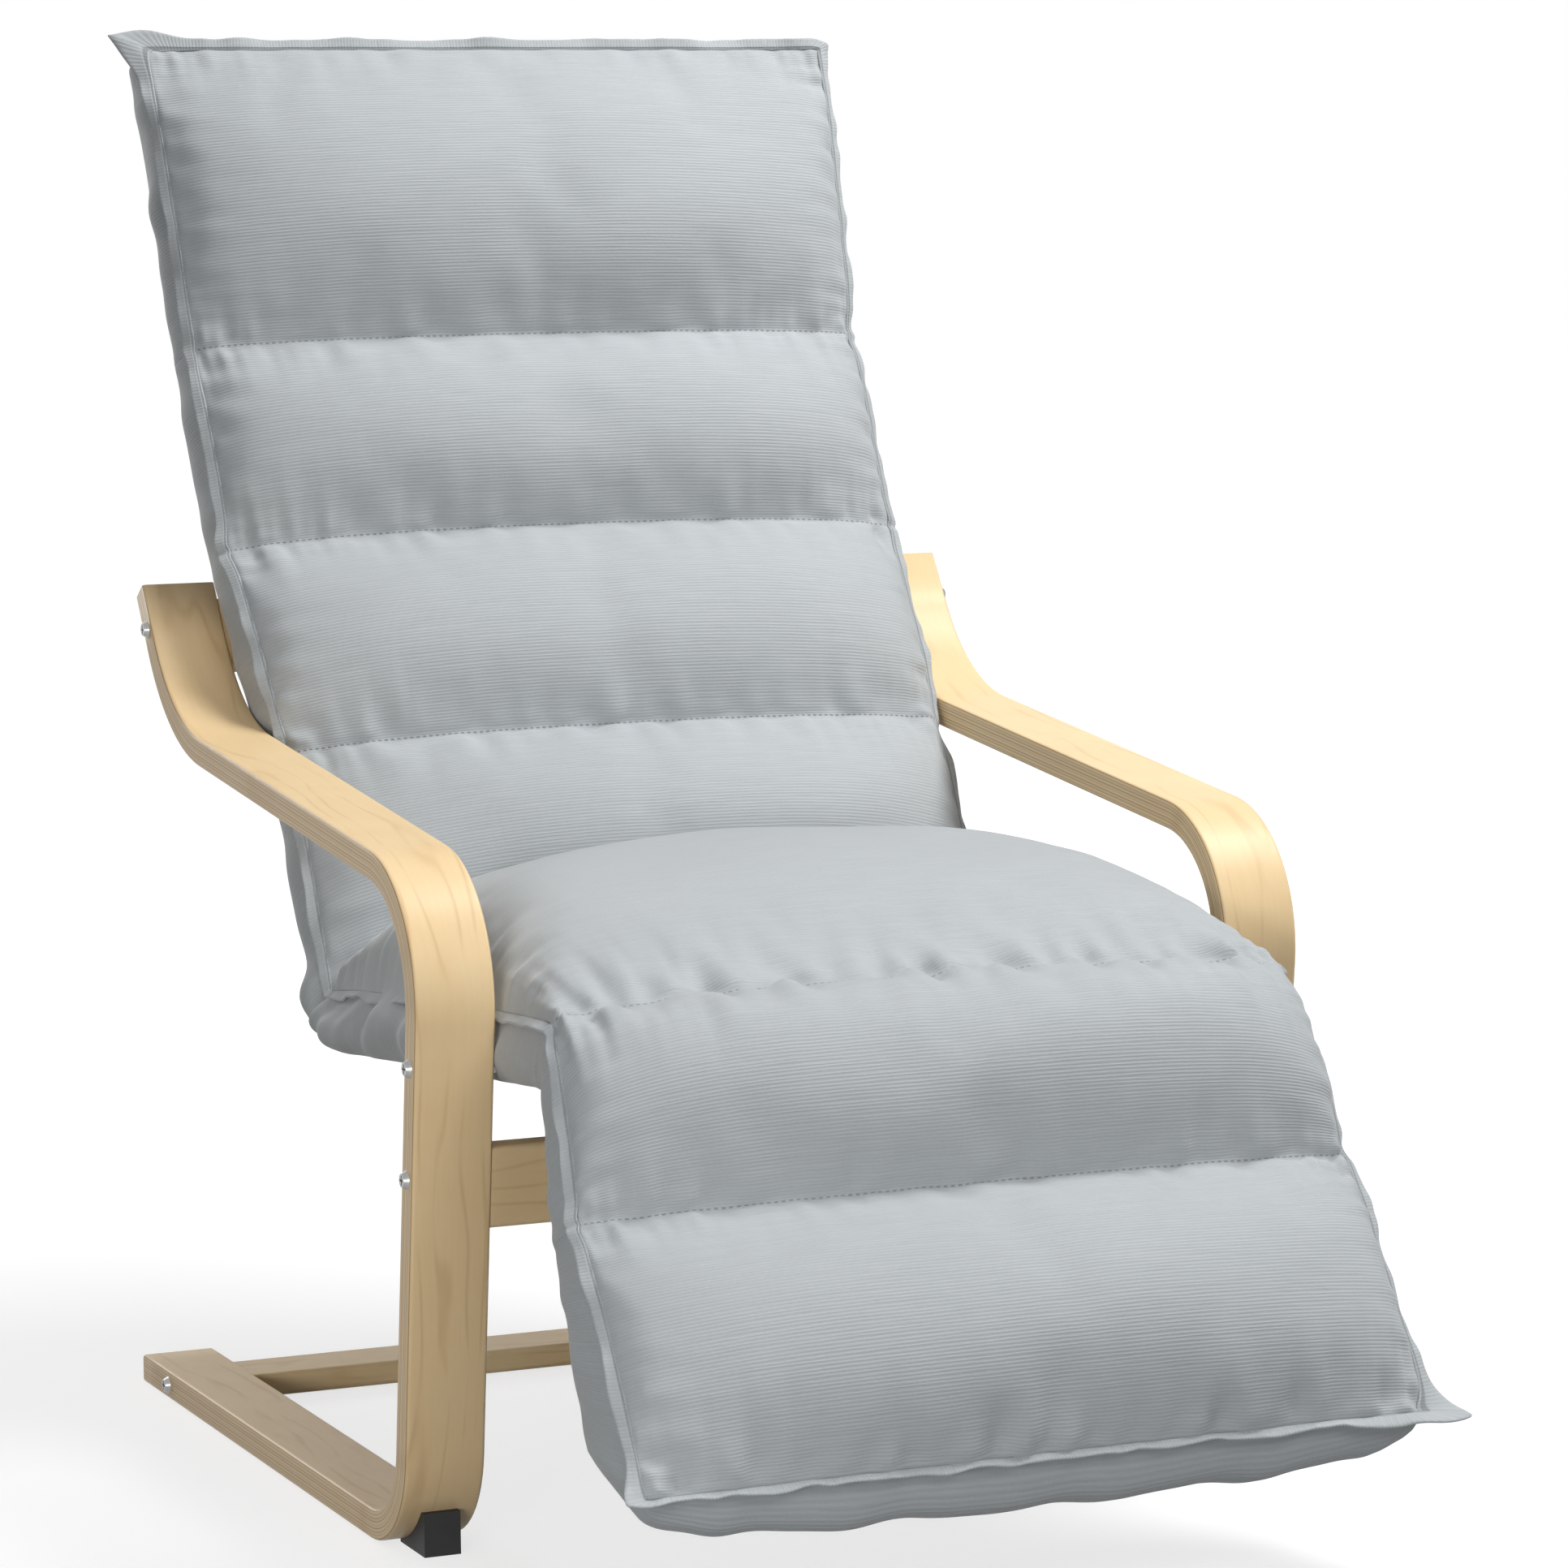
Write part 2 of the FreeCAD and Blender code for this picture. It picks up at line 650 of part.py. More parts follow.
def fasteners():
    """Bolts, square nuts, loose tenons and the back rail's screws."""
    for side, sign in SIDES.items():
        bolts = []
        for bolt in (ear_bolt, seat_bolt, rail_bolt, runner_bolt):
            bolts.append(bolt_shape(at_x(bolt, sign * half_width), X_AXIS * -sign))
        plain(f"{side}_frame_bolts", Part.makeCompound(bolts))
    nuts = []
    tenons = []
    for middle, face, wide in rail_frames().values():
        for sign in SIDES.values():
            centre = nut_centre(middle, wide, sign)
            nut = block(size("nut_thickness"), size("nut_width"), size("nut_width"), centre, wide)
            reach = X_AXIS * size("nut_thickness")
            nuts.append(nut.cut(bar_shape(size("bolt_radius"), centre - reach, centre + reach)))
            edges = (size("tenon_length"), size("tenon_width"), size("tenon_thickness"))
            tenons.append(block(*edges, tenon_centre(middle, wide, sign), wide))
    plain("rail_nuts", Part.makeCompound(nuts))
    plain("rail_tenons", Part.makeCompound(tenons))
    screws = []
    for x in rail_screw_places():
        outer = at_x(back_rail_middle, x) - back.up * rail_half
        head_top = outer - back.up * size("rail_screw_head_height")
        tip = outer + back.up * (size("rail_thickness") + size("rail_screw_bite"))
        screw = bar_shape(size("rail_screw_head_radius"), head_top, outer)
        screws.append(screw.fuse(bar_shape(size("rail_screw_radius"), outer, tip)).removeSplitter())
    plain("back_rail_screws", Part.makeCompound(screws))


def feet():
    """Rubber wedges bonded into the corner between each front bend and the floor."""
    for side, sign in SIDES.items():
        middle = sign * (half_width - size("foot_inset") - size("foot_width") / 2)
        low = middle - size("foot_width") / 2
        front = front_bend_centre.y - size("foot_front")
        rear = front_bend_centre.y - size("foot_rear")
        outline = [
            Vector(0, front, 0),
            Vector(0, rear, 0),
            Vector(0, rear, size("foot_height")),
            Vector(0, front, size("foot_height")),
        ]
        wedge = prism(outline, low, low + size("foot_width"))
        bend = size("front_bend_radius") + half_strip
        begin = Vector(middle - size("over_cut"), front_bend_centre.y, front_bend_centre.z)
        plain(f"{side}_front_foot", wedge.cut(Part.makeCylinder(bend, 2 * size("over_cut"), begin, X_AXIS)))


def side_tubes():
    """The bent side tubes of seat and back."""
    steps = [
        ("run", "seat_tube_run"),
        ("bend", "corner_bend_radius", "corner_turn", 1),
        ("run", "back_tube_run"),
        ("bend", "neck_bend_radius", "neck_turn", 1),
        ("run", "head_tube_run"),
    ]
    begin = seat.at(hinge_place - size("hinge_tube_gap"))
    for side, sign in SIDES.items():
        place = Placement(at_x(begin, sign * tube_x), Rotation(X_AXIS, -size("seat_slope")))
        node(f"{side}_side_tube", swept_body(f"{side}_side_tube", steps, tube_profile, place))


def cross_tube(name, line, reach, holes=()):
    """A straight tube welded between two side tubes."""
    centre = line.at(reach)
    outer = box_bar(("dims.cross_span", "dims.tube_width", "dims.tube_width"), centre, line.along)
    bore = box_bar(("dims.cross_span", TUBE_BORE, TUBE_BORE), centre, line.along)
    node(name, cut(outer, [bore, *holes]))


def frame_tubes():
    """Cross tubes of seat and back, tube plugs and the tapped spacers welded on for the leg bolts."""
    cross_tube("seat_cross_tube", seat, seat_depth)
    screw_bores = []
    for x in rail_screw_places():
        start = at_x(back.at(rail_rise), x) - back.up * tube_half
        screw_bores.append(cylinder("rail_screw_radius", tube_half, start, back.up))
    cross_tube("back_cross_tube", back, rail_rise, screw_bores)
    cross_tube("back_top_tube", head, size("head_straight") - size("top_tube_drop"))
    plugs = []
    spacers = []
    stem_width = tube_bore - 2 * size("wood_fit")
    for sign in SIDES.values():
        top = at_x(head.at(size("head_straight")), sign * tube_x)
        cap_middle = top + head.along * (size("plug_cap") / 2)
        cap = block(size("tube_width"), size("plug_cap"), size("tube_width"), cap_middle, head.along)
        stem_middle = top - head.along * (size("plug_length") / 2)
        stem = block(stem_width, size("plug_length"), stem_width, stem_middle, head.along)
        plugs.append(cap.fuse(stem).removeSplitter())
        outer = at_x(seat_bolt, sign * inner_face)
        inner = at_x(seat_bolt, sign * (tube_x + tube_half))
        spacers.append(bar_shape(size("spacer_radius"), outer, inner).cut(bar_shape(size("bolt_radius"), outer, inner)))
    plain("tube_plugs", Part.makeCompound(plugs))
    plain("seat_spacers", Part.makeCompound(spacers))


def legrest_frame():
    """Side tubes and end tube of the leg rest."""
    for side, sign in SIDES.items():
        reach = size("hinge_tube_gap") + size("legrest_tube_length") / 2
        centre = at_x(legrest.at(reach), sign * tube_x)
        outer = box_bar(("dims.tube_width", "dims.legrest_tube_length", "dims.tube_width"), centre, legrest.along)
        bore = box_bar((TUBE_BORE, "dims.legrest_tube_length", TUBE_BORE), centre, legrest.along)
        node(f"{side}_legrest_tube", cut(outer, [bore]))
    end_place = size("hinge_tube_gap") + size("legrest_tube_length") - size("end_tube_inset")
    cross_tube("legrest_end_tube", legrest, end_place)


def hinge_point(reach, angle):
    """A point in a hinge's own frame: the angle is counted from the rearward seat line upwards."""
    return turned(hinge, reach, angle - size("seat_slope"))


def hinge_flat(rear, up):
    """A point rearward of the hinge axis along the seat line and above it."""
    return seat.at(hinge_place - rear, up)


def slab(outline, low, high):
    """A polygon or round plate between two places across X."""
    if isinstance(outline, list):
        return prism(outline, low, high)
    centre, radius = outline
    return Part.makeCylinder(radius, high - low, at_x(centre, low), X_AXIS)


def pawl_pin_point():
    """Axis of the pins that the pawls turn on."""
    return hinge_point(size("pawl_pin_reach"), size("pawl_pin_angle"))


def bracket(x):
    """The fixed half of a ratchet hinge: two cheeks folded from one strip, with a tail welded into the tube."""
    inner = size("arm_plate_thickness") / 2 + size("plate_gap")
    outer = inner + size("cheek_thickness")
    tail_end = size("hinge_tube_gap") + size("hinge_tail_length")
    pin = pawl_pin_point()
    tail = [
        hinge_flat(0, -tail_half),
        hinge_flat(tail_end, -tail_half),
        hinge_flat(tail_end, tail_half),
        hinge_flat(0, tail_half),
    ]
    shoulder = size("pawl_boss_radius")
    web = [
        hinge_flat(0, 0),
        hinge_flat(size("hinge_tube_gap"), tail_half),
        pin - seat.along * shoulder,
        pin + seat.up * shoulder,
        hinge_flat(0, size("cheek_web_height")),
    ]
    fold_depth = size("cheek_thickness")
    back_web = [
        hinge_flat(tail_end - fold_depth, -tail_half),
        hinge_flat(tail_end, -tail_half),
        hinge_flat(tail_end, tail_half),
        hinge_flat(tail_end - fold_depth, tail_half),
    ]
    shape = slab(back_web, x - outer, x + outer)
    for low, high in ((x - outer, x - inner), (x + inner, x + outer)):
        cheek = slab((hinge, size("cheek_radius")), low, high)
        shape = shape.fuse([cheek, slab(tail, low, high), slab(web, low, high), slab((pin, shoulder), low, high)])
    fit = size("pin_fit")
    shape = shape.removeSplitter().cut(slab((hinge, size("pivot_pin_radius") + fit), x - outer, x + outer))
    return shape.cut(slab((pin, size("pawl_pin_radius") + fit), x - outer, x + outer))


def toothed_arm(x):
    """The moving half of a ratchet hinge: a notched disc with a tail welded into the leg rest's tube."""
    half = size("arm_plate_thickness") / 2
    low, high = x - half, x + half
    tail_end = size("hinge_tube_gap") + size("hinge_tail_length")
    tail = [
        legrest.at(0, -tail_half),
        legrest.at(tail_end, -tail_half),
        legrest.at(tail_end, tail_half),
        legrest.at(0, tail_half),
    ]
    disc = slab((hinge, size("tooth_tip_radius")), low, high)
    arm_shape = disc.fuse(slab(tail, low, high)).removeSplitter()
    mouth = size("tooth_gap_angle") / 2
    tip = size("tooth_tip_radius") + size("tooth_overcut")
    for step in range(round(size("legrest_travel") / size("tooth_step")) + 1):
        middle = size("nose_angle") + step * size("tooth_step")
        notch = [
            hinge_point(tip, middle - mouth),
            hinge_point(tip, middle + mouth),
            hinge_point(size("tooth_root_radius"), middle + mouth / 2),
            hinge_point(size("tooth_root_radius"), middle - mouth / 2),
        ]
        arm_shape = arm_shape.cut(slab(notch, low, high))
    return arm_shape.cut(slab((hinge, size("pivot_pin_radius") + size("pin_fit")), low, high))


def pawl(x):
    """The click lever over the notched disc, held just clear of the teeth."""
    half = size("arm_plate_thickness") / 2
    low, high = x - half, x + half
    pin = pawl_pin_point()
    boss = size("pawl_boss_radius")
    clear = size("tooth_tip_radius") + size("pawl_lift")
    lever = size("pawl_lever_height")
    nose = size("nose_angle")
    outline = [
        hinge_point(clear, nose - size("pawl_nose_spread")),
        hinge_point(clear + lever, nose - size("pawl_neck_spread")),
        pin - seat.up * (boss / 2),
        pin + seat.up * boss,
        hinge_point(clear + 2 * lever, nose - size("pawl_back_spread")),
        hinge_point(clear + lever, nose + size("pawl_brow_spread")),
        hinge_point(clear, nose + size("pawl_nose_spread")),
    ]
    under = pin - seat.up * size("pawl_heel_drop")
    heel_back = seat.along * -size("pawl_heel_length")
    heel = [under, under + heel_back, pin + heel_back, pin]
    shape = slab(outline, low, high).fuse([slab((pin, boss), low, high), slab(heel, low, high)])
    return shape.removeSplitter().cut(slab((pin, size("pawl_pin_radius") + size("pin_fit")), low, high))


def leaf_spring(x):
    """A bent leaf from the bracket's fold to the underside of the pawl's heel."""
    half = size("arm_plate_thickness") / 2
    thick = size("spring_thickness")
    tail_end = size("hinge_tube_gap") + size("hinge_tail_length") - size("cheek_thickness")
    heel_under = pawl_pin_point() - seat.up * (size("pawl_heel_drop") + size("plate_gap"))
    tip = heel_under - seat.along * size("spring_reach")
    elbow = size("hinge_tube_gap") + 2 * thick
    drop = size("spring_drop")
    outline = [
        hinge_flat(tail_end, -drop),
        hinge_flat(elbow, -drop),
        tip + seat.along * thick,
        tip,
        hinge_flat(elbow + thick, thick - drop),
        hinge_flat(tail_end, thick - drop),
    ]
    return slab(outline, x - half, x + half)


def rivet(middle, kind):
    """A pin through a hinge's plates with a round head at each end."""
    half_grip = size("arm_plate_thickness") / 2 + size("plate_gap") + size("cheek_thickness")
    grip = X_AXIS * half_grip
    cap = X_AXIS * size(f"{kind}_head_height")
    head_radius = size(f"{kind}_head_radius")
    shape = bar_shape(size(f"{kind}_radius"), middle - grip, middle + grip)
    shape = shape.fuse(bar_shape(head_radius, middle - grip - cap, middle - grip))
    return shape.fuse(bar_shape(head_radius, middle + grip, middle + grip + cap)).removeSplitter()


def ratchet_hinges():
    """Both knee hinges, piece by piece."""
    places = [sign * tube_x for sign in SIDES.values()]
    plain("hinge_brackets", Part.makeCompound([bracket(x) for x in places]))
    plain("hinge_arms", Part.makeCompound([toothed_arm(x) for x in places]))
    plain("hinge_pins", Part.makeCompound([rivet(at_x(hinge, x), "pivot_pin") for x in places]))
    plain("pawl_pins", Part.makeCompound([rivet(at_x(pawl_pin_point(), x), "pawl_pin") for x in places]))
    plain("pawl_springs", Part.makeCompound([leaf_spring(x) for x in places]))
    for side, sign in SIDES.items():
        plain(f"{side}_pawl", pawl(sign * tube_x))


def strap(line, reach):
    """A flat band looped round both side tubes."""
    inner = size("tube_width") + 2 * size("strap_gap")
    outer = inner + 2 * size("strap_thickness")
    middle = line.at(reach)
    band = block(2 * tube_x + outer, size("strap_width"), outer, middle, line.along)
    return band.cut(block(2 * tube_x + inner, size("strap_width"), inner, middle, line.along))


def spread(first, last):
    """Evenly pitched strap places between two limits, half a strap clear of each."""
    room = last - first - size("strap_width")
    count = max(1, int(room // size("strap_pitch")) + 1)
    start = (first + last) / 2 - (count - 1) * size("strap_pitch") / 2
    return [start + i * size("strap_pitch") for i in range(count)]


def webbing():
    """Straps on the seat, the back and the leg rest, clear of the cross tubes."""
    clear = tube_half + 2 * size("strap_thickness")
    seat_straps = [strap(seat, r) for r in spread(corner_tangent, seat_depth - clear)]
    plain("seat_webbing", Part.makeCompound(seat_straps))
    low_back = spread(corner_tangent, rail_rise - clear)
    high_back = spread(rail_rise + clear, size("back_straight") - neck_tangent)
    head_last = size("head_straight") - size("top_tube_drop") - clear
    back_straps = [strap(back, r) for r in low_back + high_back]
    back_straps += [strap(head, r) for r in spread(neck_tangent, head_last)]
    plain("back_webbing", Part.makeCompound(back_straps))
    first = size("hinge_tube_gap") + clear
    last = size("hinge_tube_gap") + size("legrest_tube_length") - size("end_tube_inset") - clear
    plain("legrest_webbing", Part.makeCompound([strap(legrest, r) for r in spread(first, last)]))


def edge_line(first, last):
    """A straight edge."""
    return Part.LineSegment(first, last).toShape()


def edge_arc(first, middle, last):
    """A round edge through three points."""
    return Part.Arc(first, middle, last).toShape()


def neck_points(height):
    """Start, middle and end of the neck bend at a height in front of the tube line."""
    radius = size("neck_bend_radius")
    centre = back.at(size("back_straight") - neck_tangent, radius)
    first = back_heading - 90
    return [turned(centre, radius - height, first + neck_turn * share) for share in (0, 0.5, 1)]


def back_point(reach, height):
    """A point along the bent back line, counted from the seat corner, and in front of it."""
    if reach < size("back_straight"):
        return back.at(reach, height)
    return head.at(reach - size("back_straight"), height)


def pad_corner(offset):
    """The rounded rear corner of the pad: tangent point on the seat, middle, tangent point on the back."""
    radius = size("pad_corner_radius") - (size("cover_offset") - offset)
    outer = size("pad_corner_radius")
    centre_reach = (outer - size("cover_offset")) / math.sin(fold_half)
    tangent = centre_reach * math.cos(fold_half)
    middle = fold.at(centre_reach - radius)
    return seat.at(tangent, -offset), middle, back.at(tangent, -offset)


def quarter(centre, first, last):
    """A point on the round edge about a centre, half way between two of its points."""
    half_way = (first + last) * 0.5 - centre
    return centre + half_way.normalize() * (first - centre).Length


def pad_centre():
    """Centre of the pad's rounded rear corner."""
    return fold.at((size("pad_corner_radius") - size("cover_offset")) / math.sin(fold_half))


def bulge(first, last, top):
    """A round edge between two seam points, through a crown point given by its offset from the chord."""
    return edge_arc(first, (first + last) * 0.5 + top, last)


class Swell:
    """How full the pad is at one place across the chair: 0 at the side seams, 1 in the middle."""

    def __init__(self, fullness, draw):
        self.full = fullness
        self.draw = draw

    def height(self, side, middle):
        """A height between its value at the side seam and its value in the middle."""
        return side - self.draw + (middle - side) * self.full

    def crown(self, seam, top):
        """The rise of a crown above its two seams."""
        return size("seam_bulge") + (top - seam - size("seam_bulge")) * self.full


def swells():
    """Places across the chair with the pad's fullness there, from side to side."""
    half = inner_face - size("pad_side_gap")
    places = [
        (half, 0.0, size("pad_side_draw")),
        (half - size("pad_side_round"), size("shoulder_fullness"), 0.0),
        (half - size("pad_flank_inset"), size("flank_fullness"), 0.0),
        (size("pad_middle_half"), 1.0, 0.0),
    ]
    left = [(x, Swell(full, draw)) for x, full, draw in places]
    return [(-x, swell) for x, swell in left] + left[::-1]


def lofted(section):
    """A soft solid through its sections across the chair."""
    wires = []
    for x, swell in swells():
        wire = Part.Wire(section(swell))
        wire.translate(X_AXIS * x)
        wires.append(wire)
    return Part.makeLoft(wires, True, True)


def back_section(swell):
    """Outline of the back pad in section: flat rear, rounded top end, four crowned channels in front."""
    offset = size("cover_offset")
    gap = fold.up * size("soft_gap")
    seat_foot, middle, back_foot = pad_corner(offset)
    start = middle + gap
    neck = neck_points(-offset)
    top = size("back_straight") + size("head_straight") + size("pad_end_wall")
    top_rear = back_point(top, -offset)
    seam = swell.height(size("seam_height"), size("seam_height"))
    valley = swell.height(size("seam_height"), size("back_valley"))
    crown = swell.crown(valley, size("back_crown"))
    reaches = [top, size("neck_seam"), size("shoulder_seam"), size("lumbar_seam")]
    heights = [seam, valley, valley, valley]
    points = [back_point(r, h) for r, h in zip(reaches, heights)]
    crease_reach = swell.height(size("seam_height"), size("crease_height")) / math.sin(fold_half)
    points.append(fold.at(crease_reach) + gap)
    edges = [edge_arc(start, quarter(pad_centre(), middle, back_foot), back_foot)]
    edges.append(edge_line(back_foot, neck[0]))
    edges.append(edge_arc(neck[0], neck[1], neck[2]))
    edges.append(edge_line(neck[2], top_rear))
    edges.append(bulge(top_rear, points[0], head.along * size("top_bulge")))
    for first, last, line in zip(points, points[1:], (head, back, back, back)):
        edges.append(bulge(first, last, line.up * crown))
    edges.append(edge_line(points[-1], start))
    return edges


def seat_section(swell):
    """Outline of the seat pad in section: flat underside, one long crown, cut off at the hinge line."""
    offset = size("cover_offset")
    gap = fold.up * -size("soft_gap")
    seat_foot, middle, back_foot = pad_corner(offset)
    start = middle + gap
    crease_reach = swell.height(size("seam_height"), size("crease_height")) / math.sin(fold_half)
    crease = fold.at(crease_reach) + gap
    knee = swell.height(size("knee_side_height"), size("knee_height"))
    side_crown = size("seam_height") + size("seam_bulge")
    crown = seat.at(size("seat_crown_place"), swell.height(side_crown, size("seat_crown")))
    front = hinge_place - size("soft_gap")
    knee_under = under_knee()
    edges = [edge_line(crease, start)]
    edges.append(edge_arc(start, quarter(pad_centre(), middle, seat_foot), seat_foot))
    under = knee_under + (seat.at(0) - seat.at(1)) * size("soft_gap")
    edges.append(edge_line(seat_foot, under))
    edges.append(edge_line(under, seat.at(front)))
    edges.append(edge_line(seat.at(front), seat.at(front, knee)))
    edges.append(edge_arc(seat.at(front, knee), crown, crease))
    return edges


def under_knee():
    """Where the undersides of seat and leg rest meet below the hinge at rest."""
    offset = size("cover_offset")
    low_seat = seat.at(0, -offset)
    low_rest = legrest.at(0, -offset)
    seat_under = Line2((low_seat.y, low_seat.z), 180 - size("seat_slope"))
    return seat_under.at(meet(seat_under, Line2((low_rest.y, low_rest.z), legrest_heading)))


def legrest_section(swell):
    """Outline of the leg rest pad in section: flat rear, slanted end, two crowned channels."""
    offset = size("cover_offset")
    gap = size("soft_gap")
    knee = swell.height(size("knee_side_height"), size("knee_height"))
    valley = swell.height(size("seam_height"), size("calf_valley"))
    end_seam = swell.height(size("foot_end_height") - size("pad_side_draw"), size("foot_end_height"))
    under = under_knee() + legrest.along * gap
    start = legrest.at(gap)
    points = [
        legrest.at(gap, knee),
        legrest.at(size("calf_seam"), valley),
        legrest.at(size("foot_end_reach"), end_seam),
    ]
    rear_end = legrest.at(size("foot_rear_reach"), -offset)
    calf = swell.crown((knee + valley) / 2, size("calf_crown"))
    foot = swell.crown((valley + end_seam) / 2, size("foot_crown"))
    edges = [edge_line(under, start), edge_line(start, points[0])]
    edges.append(bulge(points[0], points[1], legrest.up * calf))
    edges.append(bulge(points[1], points[2], legrest.up * foot))
    edges.append(bulge(points[2], rear_end, legrest.along * size("end_bulge")))
    edges.append(edge_line(rear_end, under))
    return edges


def knee_section(swell):
    """Outline of the fold between seat and leg rest: a fan about the hinge axis."""
    knee = swell.height(size("knee_side_height"), size("knee_height"))
    inner = size("pad_bay_height") + size("soft_gap")
    open_angle = math.degrees(size("knee_fold_gap") / inner)
    first = 90 - size("seat_slope") + open_angle
    last = legrest_heading - 90 - open_angle
    middle = (first + last) / 2
    outer = [turned(hinge, knee, a) for a in (first, middle, last)]
    inside = [turned(hinge, inner, a) for a in (last, middle, first)]
    return [
        edge_arc(*outer),
        edge_line(outer[2], inside[0]),
        edge_arc(*inside),
        edge_line(inside[2], outer[0]),
    ]


def frame_bay():
    """The hollow under seat and back pad that holds the tube frame."""
    deep = size("pad_bay_height")
    below = -size("over_cut")
    chamfer = corner_tangent + tube_half
    beyond = hinge_place + size("over_cut")
    top = size("back_straight") + size("head_straight") + size("plug_cap") + size("soft_gap")
    outer_corner = fold.at(below / math.sin(fold_half))
    points = [
        back_point(top, below),
        back_point(top, deep),
        *neck_points(deep)[::-1],
        back.at(chamfer, deep),
        seat.at(chamfer, deep),
        seat.at(beyond, deep),
        seat.at(beyond, below),
        outer_corner,
        neck_points(below)[1],
    ]
    half = inner_face - size("pad_side_gap") - size("pad_wall")
    return prism(points, -half, half)


def legrest_bay():
    """The hollow under the leg rest pad that holds its frame."""
    deep = size("pad_bay_height")
    below = -size("over_cut")
    end = size("hinge_tube_gap") + size("legrest_tube_length") + size("soft_gap")
    points = [legrest.at(-end, below), legrest.at(-end, deep), legrest.at(end, deep), legrest.at(end, below)]
    half = inner_face - size("pad_side_gap") - size("pad_wall")
    return prism(points, -half, half)


def hinge_pockets():
    """Pockets in the pad about the ratchet hinges: round about the disc, taller over the pawl."""
    pockets = []
    gap = size("hinge_pocket_gap")
    top = size("tooth_tip_radius") + size("pawl_lift") + 2 * size("pawl_lever_height") + gap
    for sign in SIDES.values():
        low = sign * tube_x - size("hinge_pocket_half")
        high = sign * tube_x + size("hinge_pocket_half")
        over_pawl = [
            hinge_flat(-gap, 0),
            hinge_flat(-gap, top),
            hinge_flat(size("hinge_tube_gap") + gap, top),
            hinge_flat(size("hinge_tube_gap") + gap, 0),
        ]
        pockets.append(slab((hinge, size("tooth_tip_radius") + gap), low, high))
        pockets.append(slab(over_pawl, low, high))
    return pockets


def beyond_fold(side):
    """Everything past the fold between seat and back: side 1 lies towards the back, -1 towards the seat."""
    far = size("overall_width")
    near = side * size("soft_gap")
    outline = [fold.at(-far, near), fold.at(far, near), fold.at(far, side * far), fold.at(-far, side * far)]
    return prism(outline, -far, far)


def cushions():
    """Quilted pad in four soft pieces: back, seat, knee fold and leg rest."""
    pockets = hinge_pockets()
    plain("back_cushion", lofted(back_section).cut([frame_bay(), beyond_fold(-1)]))
    spacer_holes = []
    for sign in SIDES.values():
        bolt = at_x(seat_bolt, sign * half_width)
        reach = X_AXIS * (sign * -2 * size("strip_width"))
        spacer_holes.append(bar_shape(size("spacer_radius") + size("soft_gap"), bolt, bolt + reach))
    plain("seat_cushion", lofted(seat_section).cut([frame_bay(), beyond_fold(1), *pockets, *spacer_holes]))
    plain("knee_fold", lofted(knee_section).cut(pockets))
    plain("legrest_cushion", lofted(legrest_section).cut([legrest_bay(), *pockets]))


def covers():
    """Fabric panels that close the hollows under the pad."""
    offset = size("cover_offset")
    inner = offset - size("cover_thickness")
    half = inner_face - size("pad_side_gap") - size("pad_wall") - size("soft_gap")
    top = size("back_straight") + size("head_straight") + size("plug_cap")
    loops = []
    for depth in (offset, inner):
        seat_foot, middle, back_foot = pad_corner(depth)
        neck = neck_points(-depth)
        front = hinge_place - size("cover_offset")
        loops.append(
            [
                (seat.at(front, -depth), seat_foot),
                (seat_foot, middle, back_foot),
                (back_foot, neck[0]),
                (neck[0], neck[1], neck[2]),
                (neck[2], back_point(top, -depth)),
            ]
        )
    edges = []
    for loop in loops:
        for part in loop:
            edges.append(edge_line(*part) if len(part) == 2 else edge_arc(*part))
    for end, point in ((0, 0), (-1, -1)):
        edges.append(edge_line(loops[0][end][point], loops[1][end][point]))
    outline = Part.Wire(Part.__sortEdges__(edges))
    outline.translate(X_AXIS * -half)
    panel = Part.Face(outline).extrude(X_AXIS * (2 * half))
    for x in rail_screw_places():
        middle = at_x(back_rail_middle, x)
        hole = size("rail_screw_radius") + size("bolt_clearance")
        panel = panel.cut(bar_shape(hole, middle, middle + back.up * (rail_half + 2 * offset)))
    plain("seat_back_cover", panel)
    end = size("hinge_tube_gap") + size("legrest_tube_length")
    rest = [
        legrest.at(size("cover_offset"), -offset),
        legrest.at(end, -offset),
        legrest.at(end, -inner),
        legrest.at(size("cover_offset"), -inner),
    ]
    plain("legrest_cover", prism(rest, -half, half))


side_frames()
rails()
fasteners()
feet()
side_tubes()
frame_tubes()
legrest_frame()
ratchet_hinges()
webbing()
cushions()
covers()
doc.recompute()

for thing in doc.Objects:
    if "Invalid" in thing.State or "Error" in thing.State:
        raise RuntimeError(f"{thing.Label} failed: {thing.State}")
for thing in NODES:
    if thing.Shape.isNull() or not thing.Shape.isValid():
        raise RuntimeError(f"{thing.Label} has no valid shape")

os.makedirs("parts", exist_ok=True)
for thing in NODES:
    thing.Shape.exportStep(f"parts/{thing.Label}.step")
print(f"{len(NODES)} sub-parts, hinge axis at {hinge}, pawl pins at {pawl_pin_point()}")
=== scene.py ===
"""Dress the bentwood recliner: wooden strips, quilted fabric pad, fittings, studio light and camera."""
import json
import logging
import math
from dataclasses import asdict, dataclass, field, replace
from enum import Enum
from typing import Any, Sequence

import bmesh
import bpy
import numpy as np
from mathutils import Matrix, Vector


